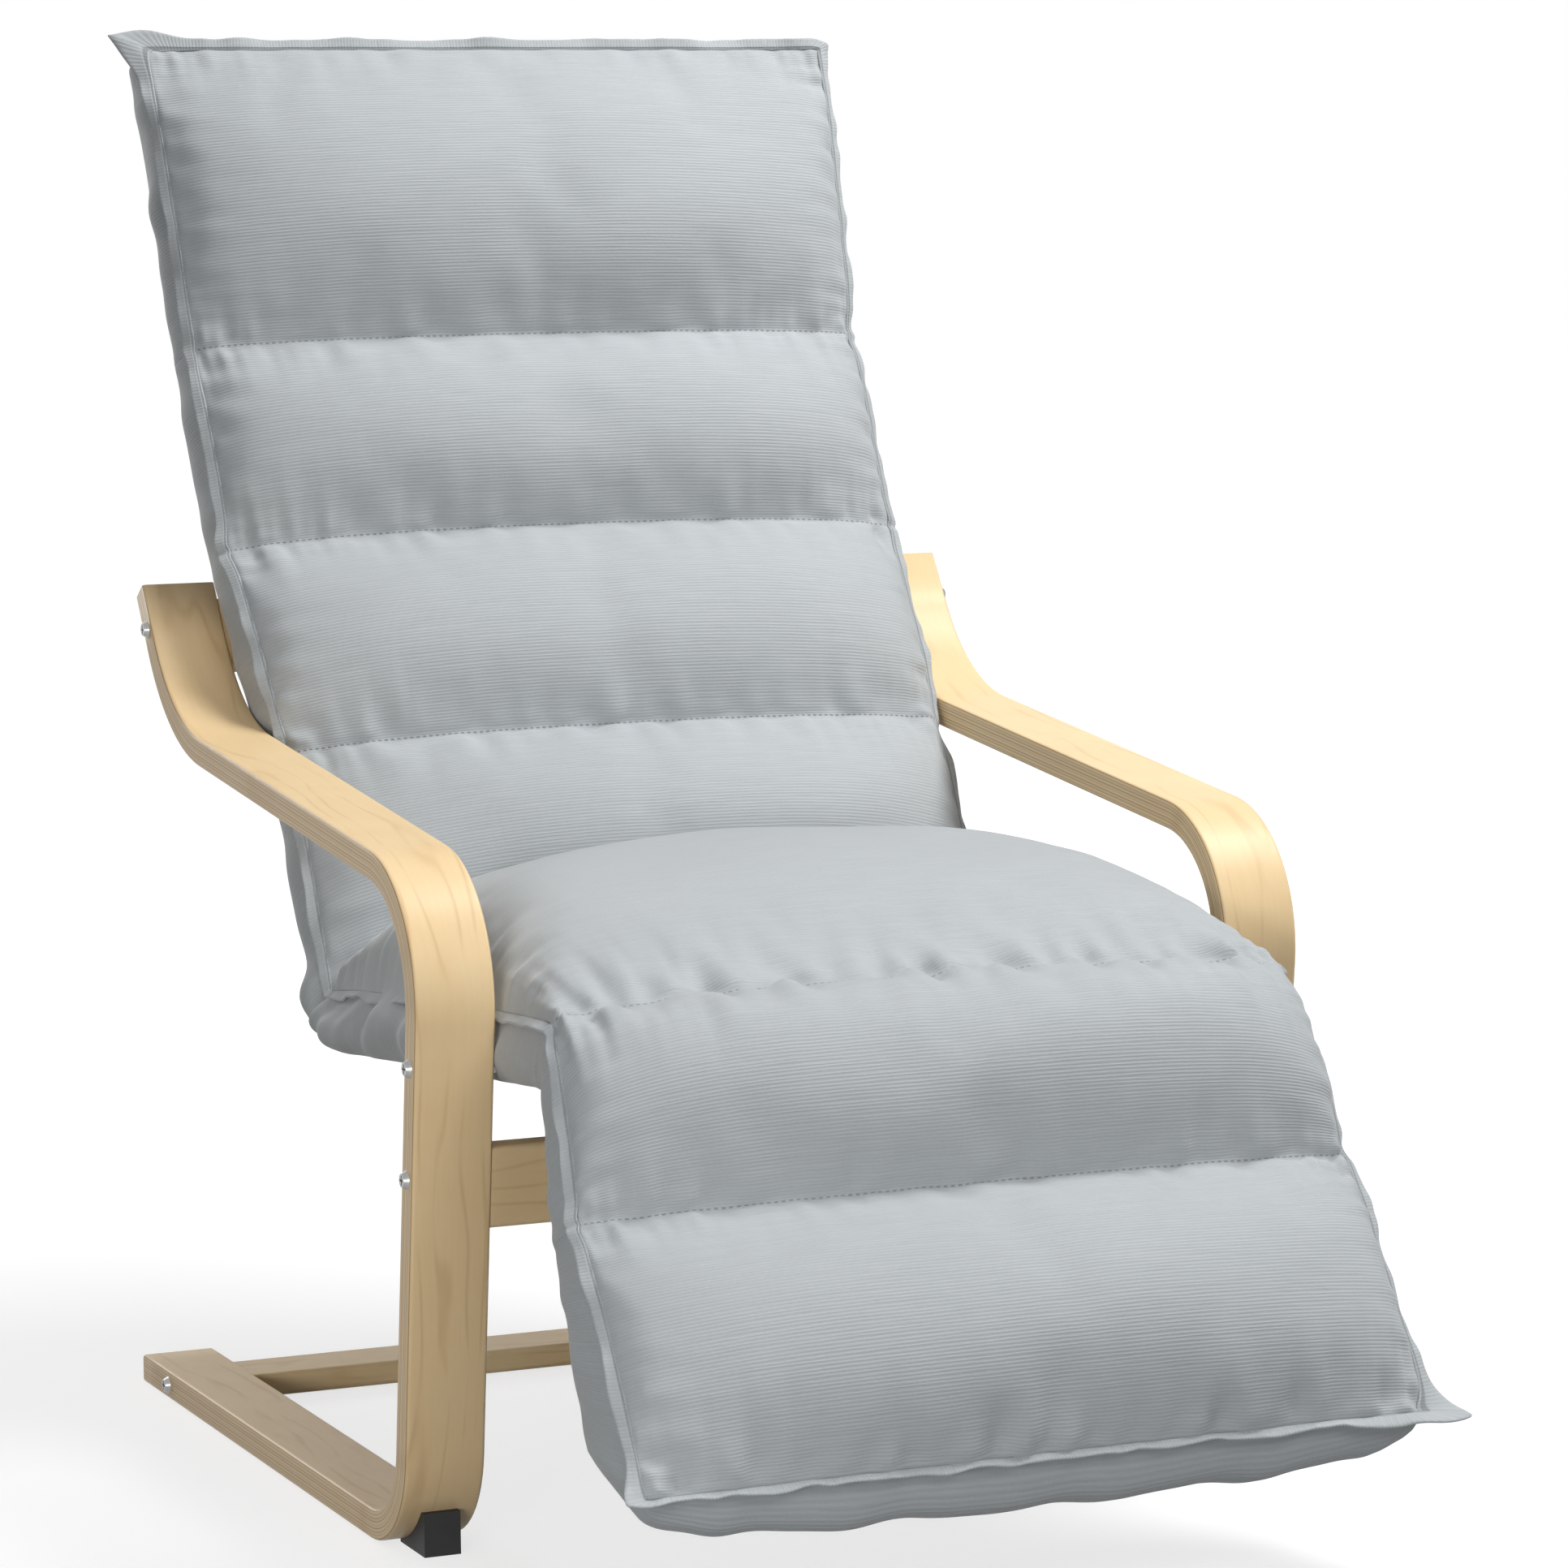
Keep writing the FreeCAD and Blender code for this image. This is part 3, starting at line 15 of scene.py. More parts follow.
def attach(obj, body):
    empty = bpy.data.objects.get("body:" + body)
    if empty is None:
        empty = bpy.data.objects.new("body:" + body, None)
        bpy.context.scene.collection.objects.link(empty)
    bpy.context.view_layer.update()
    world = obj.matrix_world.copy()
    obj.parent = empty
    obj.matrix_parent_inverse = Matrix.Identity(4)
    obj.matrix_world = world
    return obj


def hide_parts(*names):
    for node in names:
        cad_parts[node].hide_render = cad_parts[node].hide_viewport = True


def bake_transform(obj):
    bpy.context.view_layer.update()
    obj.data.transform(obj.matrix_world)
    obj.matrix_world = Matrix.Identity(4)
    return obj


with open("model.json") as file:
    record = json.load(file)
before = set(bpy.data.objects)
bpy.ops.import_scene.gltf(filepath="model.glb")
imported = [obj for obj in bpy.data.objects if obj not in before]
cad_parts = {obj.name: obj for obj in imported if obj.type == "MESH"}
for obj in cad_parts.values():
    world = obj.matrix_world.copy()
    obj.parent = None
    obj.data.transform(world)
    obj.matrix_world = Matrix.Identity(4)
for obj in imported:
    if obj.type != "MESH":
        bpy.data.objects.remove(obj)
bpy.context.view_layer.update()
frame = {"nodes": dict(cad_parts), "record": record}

LOG = logging.getLogger("recliner")
TINY = 1e-9
Array = np.ndarray
Colour = tuple[float, float, float, float]
Pair = tuple[float, float]
Triple = tuple[float, float, float]


class GrainSource(Enum):
    """Where a wooden piece takes its grain coordinates from."""

    STRIP = "grain"
    RAIL = "object"


class Shade:
    """A shader socket with arithmetic: each operator adds one Math node.

    Args:
        nodes: The node tree that the socket belongs to.
        socket: The output socket that carries the value.
    """

    def __init__(self, nodes: "Nodes", socket: bpy.types.NodeSocket) -> None:
        self.nodes = nodes
        self.socket = socket

    def output(self, name: Any) -> "Shade":
        """Another output of the same node."""
        return Shade(self.nodes, self.socket.node.outputs[name])

    def _math(self, operation: str, *values: Any) -> "Shade":
        """One Math node over the given values."""
        return self.nodes.add("ShaderNodeMath", {"operation": operation}, dict(enumerate(values)))

    def __add__(self, other: Any) -> "Shade":
        """Sum."""
        return self._math("ADD", self, other)

    __radd__ = __add__

    def __sub__(self, other: Any) -> "Shade":
        """Difference."""
        return self._math("SUBTRACT", self, other)

    def __rsub__(self, other: Any) -> "Shade":
        """Difference from a number."""
        return self._math("SUBTRACT", other, self)

    def __mul__(self, other: Any) -> "Shade":
        """Product."""
        return self._math("MULTIPLY", self, other)

    __rmul__ = __mul__

    def power(self, exponent: float) -> "Shade":
        """Power."""
        return self._math("POWER", self, exponent)

    def size(self) -> "Shade":
        """Absolute value."""
        return self._math("ABSOLUTE", self)

    def wave(self) -> "Shade":
        """Sine."""
        return self._math("SINE", self)

    def clamp(self) -> "Shade":
        """The value held between 0 and 1."""
        return self.nodes.add("ShaderNodeClamp", {}, {"Value": self})

    def ramp(self, low: float, high: float) -> "Shade":
        """A smooth step from 0 at the low value to 1 at the high one."""
        sockets = {"Value": self, "From Min": low, "From Max": high}
        return self.nodes.add("ShaderNodeMapRange", {"interpolation_type": "SMOOTHSTEP"}, sockets)


class Nodes:
    """A node tree with one method for any kind of node.

    Args:
        tree: The node tree.
    """

    def __init__(self, tree: bpy.types.NodeTree) -> None:
        self.tree = tree

    def feed(self, node: bpy.types.Node, sockets: dict[Any, Any]) -> None:
        """Link shades to a node's inputs, or set the inputs' own values.

        Args:
            node: The node.
            sockets: Shades, numbers or tuples, by the input's name or index.
        """
        for key, value in sockets.items():
            if isinstance(value, Shade):
                self.tree.links.new(value.socket, node.inputs[key])
            else:
                node.inputs[key].default_value = value

    def add(self, kind: str, settings: dict[str, Any], sockets: dict[Any, Any], out: Any = 0) -> Shade:
        """Add a node: settings first, then its sockets.

        Args:
            kind: The node's type.
            settings: Attributes of the node.
            sockets: Values or shades, by the input's name or index.
            out: Name or index of the output to return.

        Returns:
            The chosen output.
        """
        made = self.tree.nodes.new(kind)
        for key, value in settings.items():
            setattr(made, key, value)
        self.feed(made, sockets)
        return Shade(self, made.outputs[out])

    def seen(self) -> Shade:
        """1 for what the camera, a mirror or glass sees, and 0 for light that falls on the object."""
        camera = self.add("ShaderNodeLightPath", {}, {}, "Is Camera Ray")
        return (camera + camera.output("Is Glossy Ray") + camera.output("Is Transmission Ray")).clamp()


@dataclass(frozen=True)
class Pattern:
    """A noise: its stretch on three axes, its scale, detail and roughness."""

    stretch: Triple = (1.0, 1.0, 1.0)
    scale: float = 1.0
    detail: float = 2.0
    roughness: float = 0.5


class Palette(Nodes):
    """A material under construction.

    Args:
        name: The material's name.
    """

    def __init__(self, name: str) -> None:
        self.material = bpy.data.materials.new(name)
        self.material.use_nodes = True
        super().__init__(self.material.node_tree)

    def finish(self, sockets: dict[str, Any]) -> None:
        """Set or link the main shader's sockets."""
        self.feed(self.tree.nodes["Principled BSDF"], sockets)

    def place(self) -> Shade:
        """Object coordinates."""
        return self.add("ShaderNodeTexCoord", {}, {}, "Object")

    def attribute(self, name: str) -> Shade:
        """A vector stored on the mesh."""
        return self.add("ShaderNodeAttribute", {"attribute_name": name}, {}, "Vector")

    def mix(self, share: Any, first: Any, second: Any) -> Shade:
        """Mix two colours by a share."""
        return self.add("ShaderNodeMix", {"data_type": "RGBA"}, {0: share, 6: first, 7: second}, 2)

    def noise(self, vector: Shade, pattern: Pattern) -> Shade:
        """Noise value on a stretched vector.

        Args:
            vector: The coordinates.
            pattern: The kind of noise.

        Returns:
            The noise, from 0 to 1.
        """
        stretched = self.add("ShaderNodeMapping", {}, {"Vector": vector, "Scale": pattern.stretch})
        sockets = {
            "Vector": stretched,
            "Scale": pattern.scale,
            "Detail": pattern.detail,
            "Roughness": pattern.roughness,
        }
        return self.add("ShaderNodeTexNoise", {}, sockets, "Fac")

    def split(self, vector: Shade) -> list[Shade]:
        """The three components of a vector."""
        first = self.add("ShaderNodeSeparateXYZ", {}, {0: vector})
        return [first.output(axis) for axis in range(3)]

    def bump(self, height: Shade, strength: float, distance: float) -> None:
        """Feed a height into the shader's normal."""
        sockets = {"Height": height, "Strength": strength, "Distance": distance}
        self.finish({"Normal": self.add("ShaderNodeBump", {}, sockets, "Normal")})


def weigh(shades: Sequence[Shade], weights: Sequence[float]) -> Shade:
    """Sum of shades, each times its weight."""
    return sum(shade * weight for shade, weight in zip(shades, weights))


@dataclass(frozen=True)
class WoodFinish:
    """Pale birch under satin lacquer, with ply lines on the edges of bent strips.

    Patterns are stretched along the grain, through the strip and across it.
    """

    name: str
    source: GrainSource
    light: Colour = (0.87, 0.665, 0.39, 1.0)
    dark: Colour = (0.79, 0.555, 0.285, 1.0)
    ring: Colour = (0.56, 0.34, 0.145, 1.0)
    glue: Colour = (0.15, 0.085, 0.04, 1.0)
    end_grain: Colour = (0.70, 0.515, 0.315, 1.0)
    fibre: Pattern = Pattern((2.2, 1.0, 46.0), 7.0, 5.0, 0.6)
    cloud: Pattern = Pattern((7.0, 1.0, 9.0), 1.6)
    figure: Pattern = Pattern((21.0, 3.0, 27.0), 1.0, 4.0, 0.65)
    sway: Pattern = Pattern((3.4, 1.0, 17.0))
    dark_weights: Triple = (0.5, 0.5, 0.7)
    dark_start: float = 0.5
    ring_pull: float = 330.0
    ring_sway: float = 34.0
    ring_thin: float = 12.0
    ring_patch: Pair = (0.38, 0.62)
    ring_share: float = 0.34
    plies: int = 9
    ply_thin: float = 2.5
    ply_change: float = 0.25
    ply_share: float = 0.5
    ply_groove: float = 0.8
    strong_pull: float = 0.37
    strong_share: Pair = (0.75, 0.2)
    strip_width: float = 0.057
    strip_thickness: float = 0.021
    edge_round: Pair = (0.0016, 0.0006)
    roughness: float = 0.45
    specular: float = 0.25
    coat: float = 0.08
    coat_roughness: float = 0.2
    bump: Pair = (0.06, 0.0008)

    def noise(self, paint: Palette, place: Shade, pattern: Pattern) -> Shade:
        """A pattern on the grain: on a rail it runs through the wood as it does across it.

        Args:
            paint: The material.
            place: The grain coordinates.
            pattern: The kind of noise.

        Returns:
            The noise, from 0 to 1.
        """
        along, _, across = pattern.stretch
        if self.source is GrainSource.RAIL:
            pattern = replace(pattern, stretch=(along, across, across))
        return paint.noise(place, pattern)

    def make(self) -> bpy.types.Material:
        """Build the material: light and dark wood by noise, ring lines as a thinned sine, and ply lines.

        Returns:
            The finished material.
        """
        paint = Palette(self.name)
        strip = self.source is GrainSource.STRIP
        place = paint.attribute(self.source.value) if strip else paint.place()
        patterns = (self.fibre, self.cloud, self.figure, self.sway)
        fibre, cloud, figure, sway = (self.noise(paint, place, pattern) for pattern in patterns)
        share = (weigh((fibre, cloud, figure), self.dark_weights) - self.dark_start).clamp()
        colour = paint.mix(share, self.light, self.dark)
        _, depth, width = paint.split(place)
        ring = (width * self.ring_pull + sway * self.ring_sway).wave() * 0.5 + 0.5
        patch = cloud.ramp(*self.ring_patch) * self.ring_share
        colour = paint.mix(ring.power(self.ring_thin) * patch, colour, self.ring)
        relief = fibre
        if strip:
            start, end = (self.strip_width / 2 - inset for inset in self.edge_round)
            edge = width.size().ramp(start, end)
            turn = depth * (math.pi * self.plies / self.strip_thickness)
            line = (1 - turn.wave().size()).power(self.ply_thin)
            alternate = turn.wave().ramp(-self.ply_change, self.ply_change)
            strong = (turn * self.strong_pull).wave().size() * self.strong_share[0] + self.strong_share[1]
            layer = paint.mix(alternate * self.ply_share, colour, self.end_grain)
            colour = paint.mix(edge, colour, paint.mix(line * strong, layer, self.glue))
            relief = fibre - line * edge * self.ply_groove
        lacquer = {
            "Base Color": colour,
            "Roughness": self.roughness,
            "Specular IOR Level": self.specular,
            "Coat Weight": self.coat,
            "Coat Roughness": self.coat_roughness,
        }
        paint.finish(lacquer)
        paint.bump(relief, *self.bump)
        return paint.material


@dataclass(frozen=True)
class FabricFinish:
    """Matt woven cloth with fine ribs across the chair."""

    name: str
    base: Colour = (0.485, 0.512, 0.528, 1.0)
    deep: Colour = (0.375, 0.402, 0.418, 1.0)
    # Dark colour of the stitch dashes, and of the painted shadow along the flange seam.
    stitch_and_seam_shadow: Colour = (0.16, 0.175, 0.185, 1.0)
    slub: Pattern = Pattern((18.0, 300.0, 1.0), 1.0, 3.0, 0.6)
    fibre: Pattern = Pattern((340.0, 700.0, 1.0))
    cloud: Pattern = Pattern(scale=9.0)
    deep_weights: Colour = (0.75, 0.35, 0.25, 0.3)
    deep_start: float = 0.55
    relief_weights: Triple = (0.6, 0.4, 0.6)
    rib_pitch: float = 0.0025
    rib_sway: float = 5.0
    stitch_pitch: float = 0.0050
    stitch_and_shadow_width: Pair = (0.0005, 0.0015)
    stitch_ends: Pair = (-0.3, 0.2)
    stitch_and_shadow_share: float = 0.55
    stitch_depth: float = 2.0
    roughness: float = 0.82
    specular: float = 0.25
    sheen: float = 0.25
    sheen_roughness: float = 0.45
    bump: Pair = (0.45, 0.0006)

    def make(self) -> bpy.types.Material:
        """Build the material: ribs as a sine along the fabric, swayed by slubs, and darker where it is deep.

        Returns:
            The finished material.
        """
        paint = Palette(self.name)
        place = paint.add("ShaderNodeUVMap", {"uv_map": "weave"}, {})
        _, along, _ = paint.split(place)
        slub, fibre, cloud = (paint.noise(place, pattern) for pattern in (self.slub, self.fibre, self.cloud))
        rib = (along * (2 * math.pi / self.rib_pitch) + slub * self.rib_sway).wave() * 0.5 + 0.5
        share = (weigh((slub, fibre, cloud, rib), self.deep_weights) - self.deep_start).clamp()
        weave = paint.mix(share, self.base, self.deep)
        # Mask of the stitch dashes and of a painted shadow line along the flange seam, where the channels'
        # fronts would shade it.
        sewn = self.stitches_and_seam_shadow(paint)
        cloth = {
            "Base Color": paint.mix(sewn * self.stitch_and_shadow_share, weave, self.stitch_and_seam_shadow),
            "Roughness": self.roughness,
            "Specular IOR Level": self.specular,
            "Sheen Weight": self.sheen,
            "Sheen Roughness": self.sheen_roughness,
        }
        paint.finish(cloth)
        paint.bump(weigh((slub, fibre, rib), self.relief_weights) - sewn * self.stitch_depth, *self.bump)
        return paint.material

    def stitches_and_seam_shadow(self, paint: Palette) -> Shade:
        """Dashes along the cross seams, and a painted shadow line along the flange seam where the channels'
        fronts would shade the flange.

        The stitch attribute holds the distance from the seam, the length along it, and 1 on the flange.

        Args:
            paint: The material.

        Returns:
            1 in a stitch or in the painted shadow line, and 0 elsewhere.
        """
        away, along, lip = paint.split(paint.attribute("stitch"))
        dash = (along * (2 * math.pi / self.stitch_pitch)).wave().ramp(*self.stitch_ends)
        near = 1 - away.size().ramp(*self.stitch_and_shadow_width)
        # On the flange the mask is a painted shadow line beside the seam; on the front it is the stitch
        # dashes.
        return near * (dash + lip - dash * lip)


@dataclass(frozen=True)
class PlainFinish:
    """Metal, rubber or plastic with a little unevenness in its roughness."""

    name: str
    colour: Triple
    metallic: float = 0.0
    roughness: float = 0.5
    grain: float = 60.0
    uneven: float = 0.16

    def make(self) -> bpy.types.Material:
        """Build the material.

        Returns:
            The finished material.
        """
        paint = Palette(self.name)
        patch = paint.noise(paint.place(), Pattern(scale=self.grain))
        rough = patch * self.uneven + (self.roughness - self.uneven / 2)
        paint.finish({"Base Color": (*self.colour, 1.0), "Metallic": self.metallic, "Roughness": rough})
        return paint.material


def mesh_object(
    name: str, points: Array, faces: list[list[int]], material: bpy.types.Material, rounded: int | None = None
) -> bpy.types.Object:
    """A mesh object at the origin.

    Args:
        name: The object's name.
        points: Vertices, N by 3.
        faces: Corner numbers of each face.
        material: Its material.
        rounded: How many of the first faces are shaded smooth, or None for all of them.

    Returns:
        The linked object.
    """
    mesh = bpy.data.meshes.new(name)
    mesh.from_pydata(points.tolist(), [], faces)
    smooth = np.arange(len(faces)) < (len(faces) if rounded is None else rounded)
    mesh.polygons.foreach_set("use_smooth", smooth)
    mesh.materials.append(material)
    thing = bpy.data.objects.new(name, mesh)
    bpy.context.scene.collection.objects.link(thing)
    return thing


def store_vectors(mesh: bpy.types.Mesh, name: str, values: Array) -> None:
    """Store a vector on each vertex for the materials."""
    layer = mesh.attributes.new(name, "FLOAT_VECTOR", "POINT")
    layer.data.foreach_set("vector", values.astype(np.float32).ravel())


def turn_outwards(thing: bpy.types.Object, reach: float = 0.0) -> None:
    """Merge vertices that lie within reach of each other, and turn the faces outwards.

    Args:
        thing: The object.
        reach: Largest distance between merged vertices, or 0 to merge none.
    """
    work = bmesh.new()
    work.from_mesh(thing.data)
    if reach:
        bmesh.ops.remove_doubles(work, verts=work.verts, dist=reach)
    bmesh.ops.recalc_face_normals(work, faces=work.faces)
    work.to_mesh(thing.data)
    work.free()


def grid_faces(rows: int, columns: int, wrap: bool = False) -> Array:
    """Quads of a grid whose vertices run column by column within each row.

    Args:
        rows: Number of vertex rows.
        columns: Number of vertices in a row.
        wrap: Whether the last column joins the first.

    Returns:
        Quads, M by 4.
    """
    steps = np.arange(columns if wrap else columns - 1)
    down, right = np.meshgrid(np.arange(rows - 1) * columns, steps, indexing="ij")
    after = (right + 1) % columns
    quads = [down + right, down + after, down + columns + after, down + columns + right]
    return np.stack(quads, -1).reshape(-1, 4)


def ripple(first: Array, second: Array, pitch: float, seed: int, waves: int = 7) -> Array:
    """Smooth uneven waves: a sum of sines in seeded directions, of about unit height.

    Args:
        first: First coordinate, in metres.
        second: Second coordinate, in metres.
        pitch: Mean distance between crests.
        seed: Seed of the directions.
        waves: Number of sines.

    Returns:
        Heights in the coordinates' shape.
    """
    draw = np.random.default_rng(seed)
    total = np.zeros(np.broadcast(first, second).shape)
    for _ in range(waves):
        turn, phase = draw.uniform(0, 2 * math.pi, 2)
        pull = 2 * math.pi / (pitch * draw.uniform(0.65, 1.5))
        total = total + np.sin(pull * (first * math.cos(turn) + second * math.sin(turn)) + phase)
    return total / math.sqrt(waves)


def direction(heading: float) -> Array:
    """Unit vector in the YZ plane at an angle in degrees from +Y upwards."""
    turn = math.radians(heading)
    return np.array([math.cos(turn), math.sin(turn)])


def between(pair: Pair, share: float) -> float:
    """A value on the way from the first of a pair to the second."""
    return pair[0] + (pair[1] - pair[0]) * share


def fade(gap: Array, reach: Any) -> Array:
    """Share that falls from 1 on a line to 0 away from it: e to the power of minus gap over reach."""
    return np.exp(-gap / reach)


def bell(place: Array, middle: float, width: float) -> Array:
    """Share that is 1 at a place and falls off on both sides as a bell curve."""
    return np.exp(-(((place - middle) / width) ** 2))


def unit(vectors: Array) -> Array:
    """Vectors brought to unit length."""
    return vectors / np.maximum(np.linalg.norm(vectors, axis=-1, keepdims=True), TINY)


def run_length(points: Array) -> Array:
    """Length along a line at each of its points."""
    return np.concatenate([[0.0], np.cumsum(np.linalg.norm(np.diff(points, axis=0), axis=1))])


@dataclass
class BentStrips:
    """The two side frames: one laminated strip each, bent by a table of runs and bends."""

    half_width: float = 0.330
    width: float = 0.057
    thickness: float = 0.021
    round: float = 0.0026
    round_points: int = 6
    side_shares: Triple = (0.03, 0.5, 0.97)
    start: Pair = (0.429, 0.0105)
    bends: tuple[Triple, ...] = (
        (0.542, 0.068, -83.2),
        (0.301, 0.089, -90.9),
        (0.387, 0.159, 50.0),
        (0.049, 0.0, 0.0),
    )
    bend_step: float = 0.006
    run_step: float = 0.024
    grain_apart: float = 3.0

    def path(self) -> tuple[Array, Array, Array]:
        """Points, headings and lengths along the strip's middle line, runner first.

        Each row of the table is a straight run, then an arc of a radius through an angle.

        Returns:
            Points N by 2 in YZ, headings in radians, and lengths.
        """
        point, heading, length = np.array(self.start), math.pi, 0.0
        points, headings, lengths = [point[None]], [[heading]], [[0.0]]
        for run, radius, angle in self.bends:
            steps = np.linspace(0, run, max(2, round(run / self.run_step)))[1:]
            ahead = np.array([math.cos(heading), math.sin(heading)])
            points.append(point + steps[:, None] * ahead)
            headings.append(np.full(len(steps), heading))
            lengths.append(length + steps)
            point, length = points[-1][-1], length + run
            if radius:
                sweep, side = math.radians(abs(angle)), math.copysign(1, angle)
                arcs = np.linspace(0, sweep, max(3, round(radius * sweep / self.bend_step)))[1:]
                centre = point + radius * side * np.array([-math.sin(heading), math.cos(heading)])
                turned = heading + side * arcs
                normal = np.stack([np.sin(turned), -np.cos(turned)], 1) * side
                points.append(centre + radius * normal)
                headings.append(turned)
                lengths.append(length + radius * arcs)
                point, heading, length = points[-1][-1], turned[-1], length + radius * sweep
        return np.concatenate(points), np.concatenate(headings), np.concatenate(lengths)

    def profile(self) -> Array:
        """Rounded rectangle as a loop of points: across the chair, and through the thickness.

        Returns:
            Points M by 2.
        """
        half = np.array([self.width, self.thickness]) / 2 - self.round
        centres = half * np.array([(1, 1), (-1, 1), (-1, -1), (1, -1)])
        turns = np.linspace(0, math.pi / 2, self.round_points)
        shares = np.array(self.side_shares)[:, None]
        loop = []
        for quarter, (centre, following) in enumerate(zip(centres, np.roll(centres, -1, 0))):
            angle = turns + quarter * math.pi / 2
            arc = centre + self.round * np.stack([np.cos(angle), np.sin(angle)], 1)
            loop += [arc, arc[-1] + (following - centre) * shares]
        return np.concatenate(loop)

    def build(self, finish: bpy.types.Material) -> list[bpy.types.Object]:
        """Sweep the profile along the path on both sides of the chair, and close its ends with fans.

        Args:
            finish: The wood of the strips.

        Returns:
            Both strips.
        """
        points, headings, lengths = self.path()
        loop = self.profile()
        normal = np.stack([-np.sin(headings), np.cos(headings)], 1)
        rows, columns = len(points), len(loop)
        sides = grid_faces(rows, columns, wrap=True).tolist()
        number = np.arange(rows * columns).reshape(rows, columns)
        caps = []
        for apex, ring in ((rows * columns, number[0, ::-1]), (rows * columns + 1, number[-1])):
            caps += np.stack([ring, np.roll(ring, -1), np.full(columns, apex)], 1).tolist()
        strips = []
        for side, sign in (("right", -1), ("left", 1)):
            body = np.empty((rows, columns, 3))
            body[..., 0] = sign * (self.half_width - self.width / 2) + loop[:, 0]
            body[..., 1:] = points[:, None] + normal[:, None] * loop[:, 1, None]
            grain = np.empty_like(body)
            grain[..., 0] = lengths[:, None] + self.grain_apart * (sign > 0)
            grain[..., 1:] = loop[:, ::-1]
            vertices = np.concatenate([body.reshape(-1, 3), body[[0, -1]].mean(1)])
            thing = mesh_object(f"{side}_bent_strip", vertices, sides + caps, finish, len(sides))
            store_vectors(thing.data, "grain", np.concatenate([grain.reshape(-1, 3), np.zeros((2, 3))]))
            turn_outwards(thing)
            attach(thing, "chair")
            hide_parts(f"{side}_side_frame")
            strips.append(thing)
        return strips


@dataclass(frozen=True)
class Channel:
    """One sewn channel of the pad between two seams.

    The crown is the height of its middle over the chord, up is a heading square to the crown's own, and the
    peak is where along the channel the crown lies. Flat says how far towards the side seams it stays full,
    and a lower swell makes it drop more steeply to its seams.
    """

    name: str
    crown: float
    up: float
    peak: float = 0.5
    flat: float = 2.4
    swell: float = 0.82


@dataclass(frozen=True)
class Wrinkle:
    """Uneven waves in the fabric: their height, mean pitch and seed, and how far they reach from a seam.

    The pull scales the fabric's width and length, so that a low value draws the waves out that way.
    """

    height: float
    pitch: float
    seed: int
    reach: float = 0.0
    pull: Pair = (1.0, 1.0)

    def waves(self, wide: Array, cloth: Array) -> Array:
        """Heights of the waves over the fabric's width and length."""
        return self.height * ripple(wide * self.pull[0], cloth * self.pull[1], self.pitch, self.seed)


@dataclass(frozen=True)
class SwellCloth:
    """Cloth settings of the fabric while the filling swells it, by their names in Blender."""

    quality: int = 6
    mass: float = 0.25
    tension_stiffness: float = 40.0
    compression_stiffness: float = 30.0
    shear_stiffness: float = 12.0
    bending_stiffness: float = 0.35
    use_pressure: bool = True
    uniform_pressure_force: float = 4.0
    shrink_min: float = -0.012


@dataclass(frozen=True)
class Sheet:
    """The pad's shell as a grid: its size, the flange seam's two columns and the cross seams' rows."""

    rows: int
    columns: int
    low: int
    high: int
    seams: Array

    def grid(self, values: Array) -> Array:
        """Values of the vertices as rows by columns."""
        return values.reshape(self.rows, self.columns, -1)


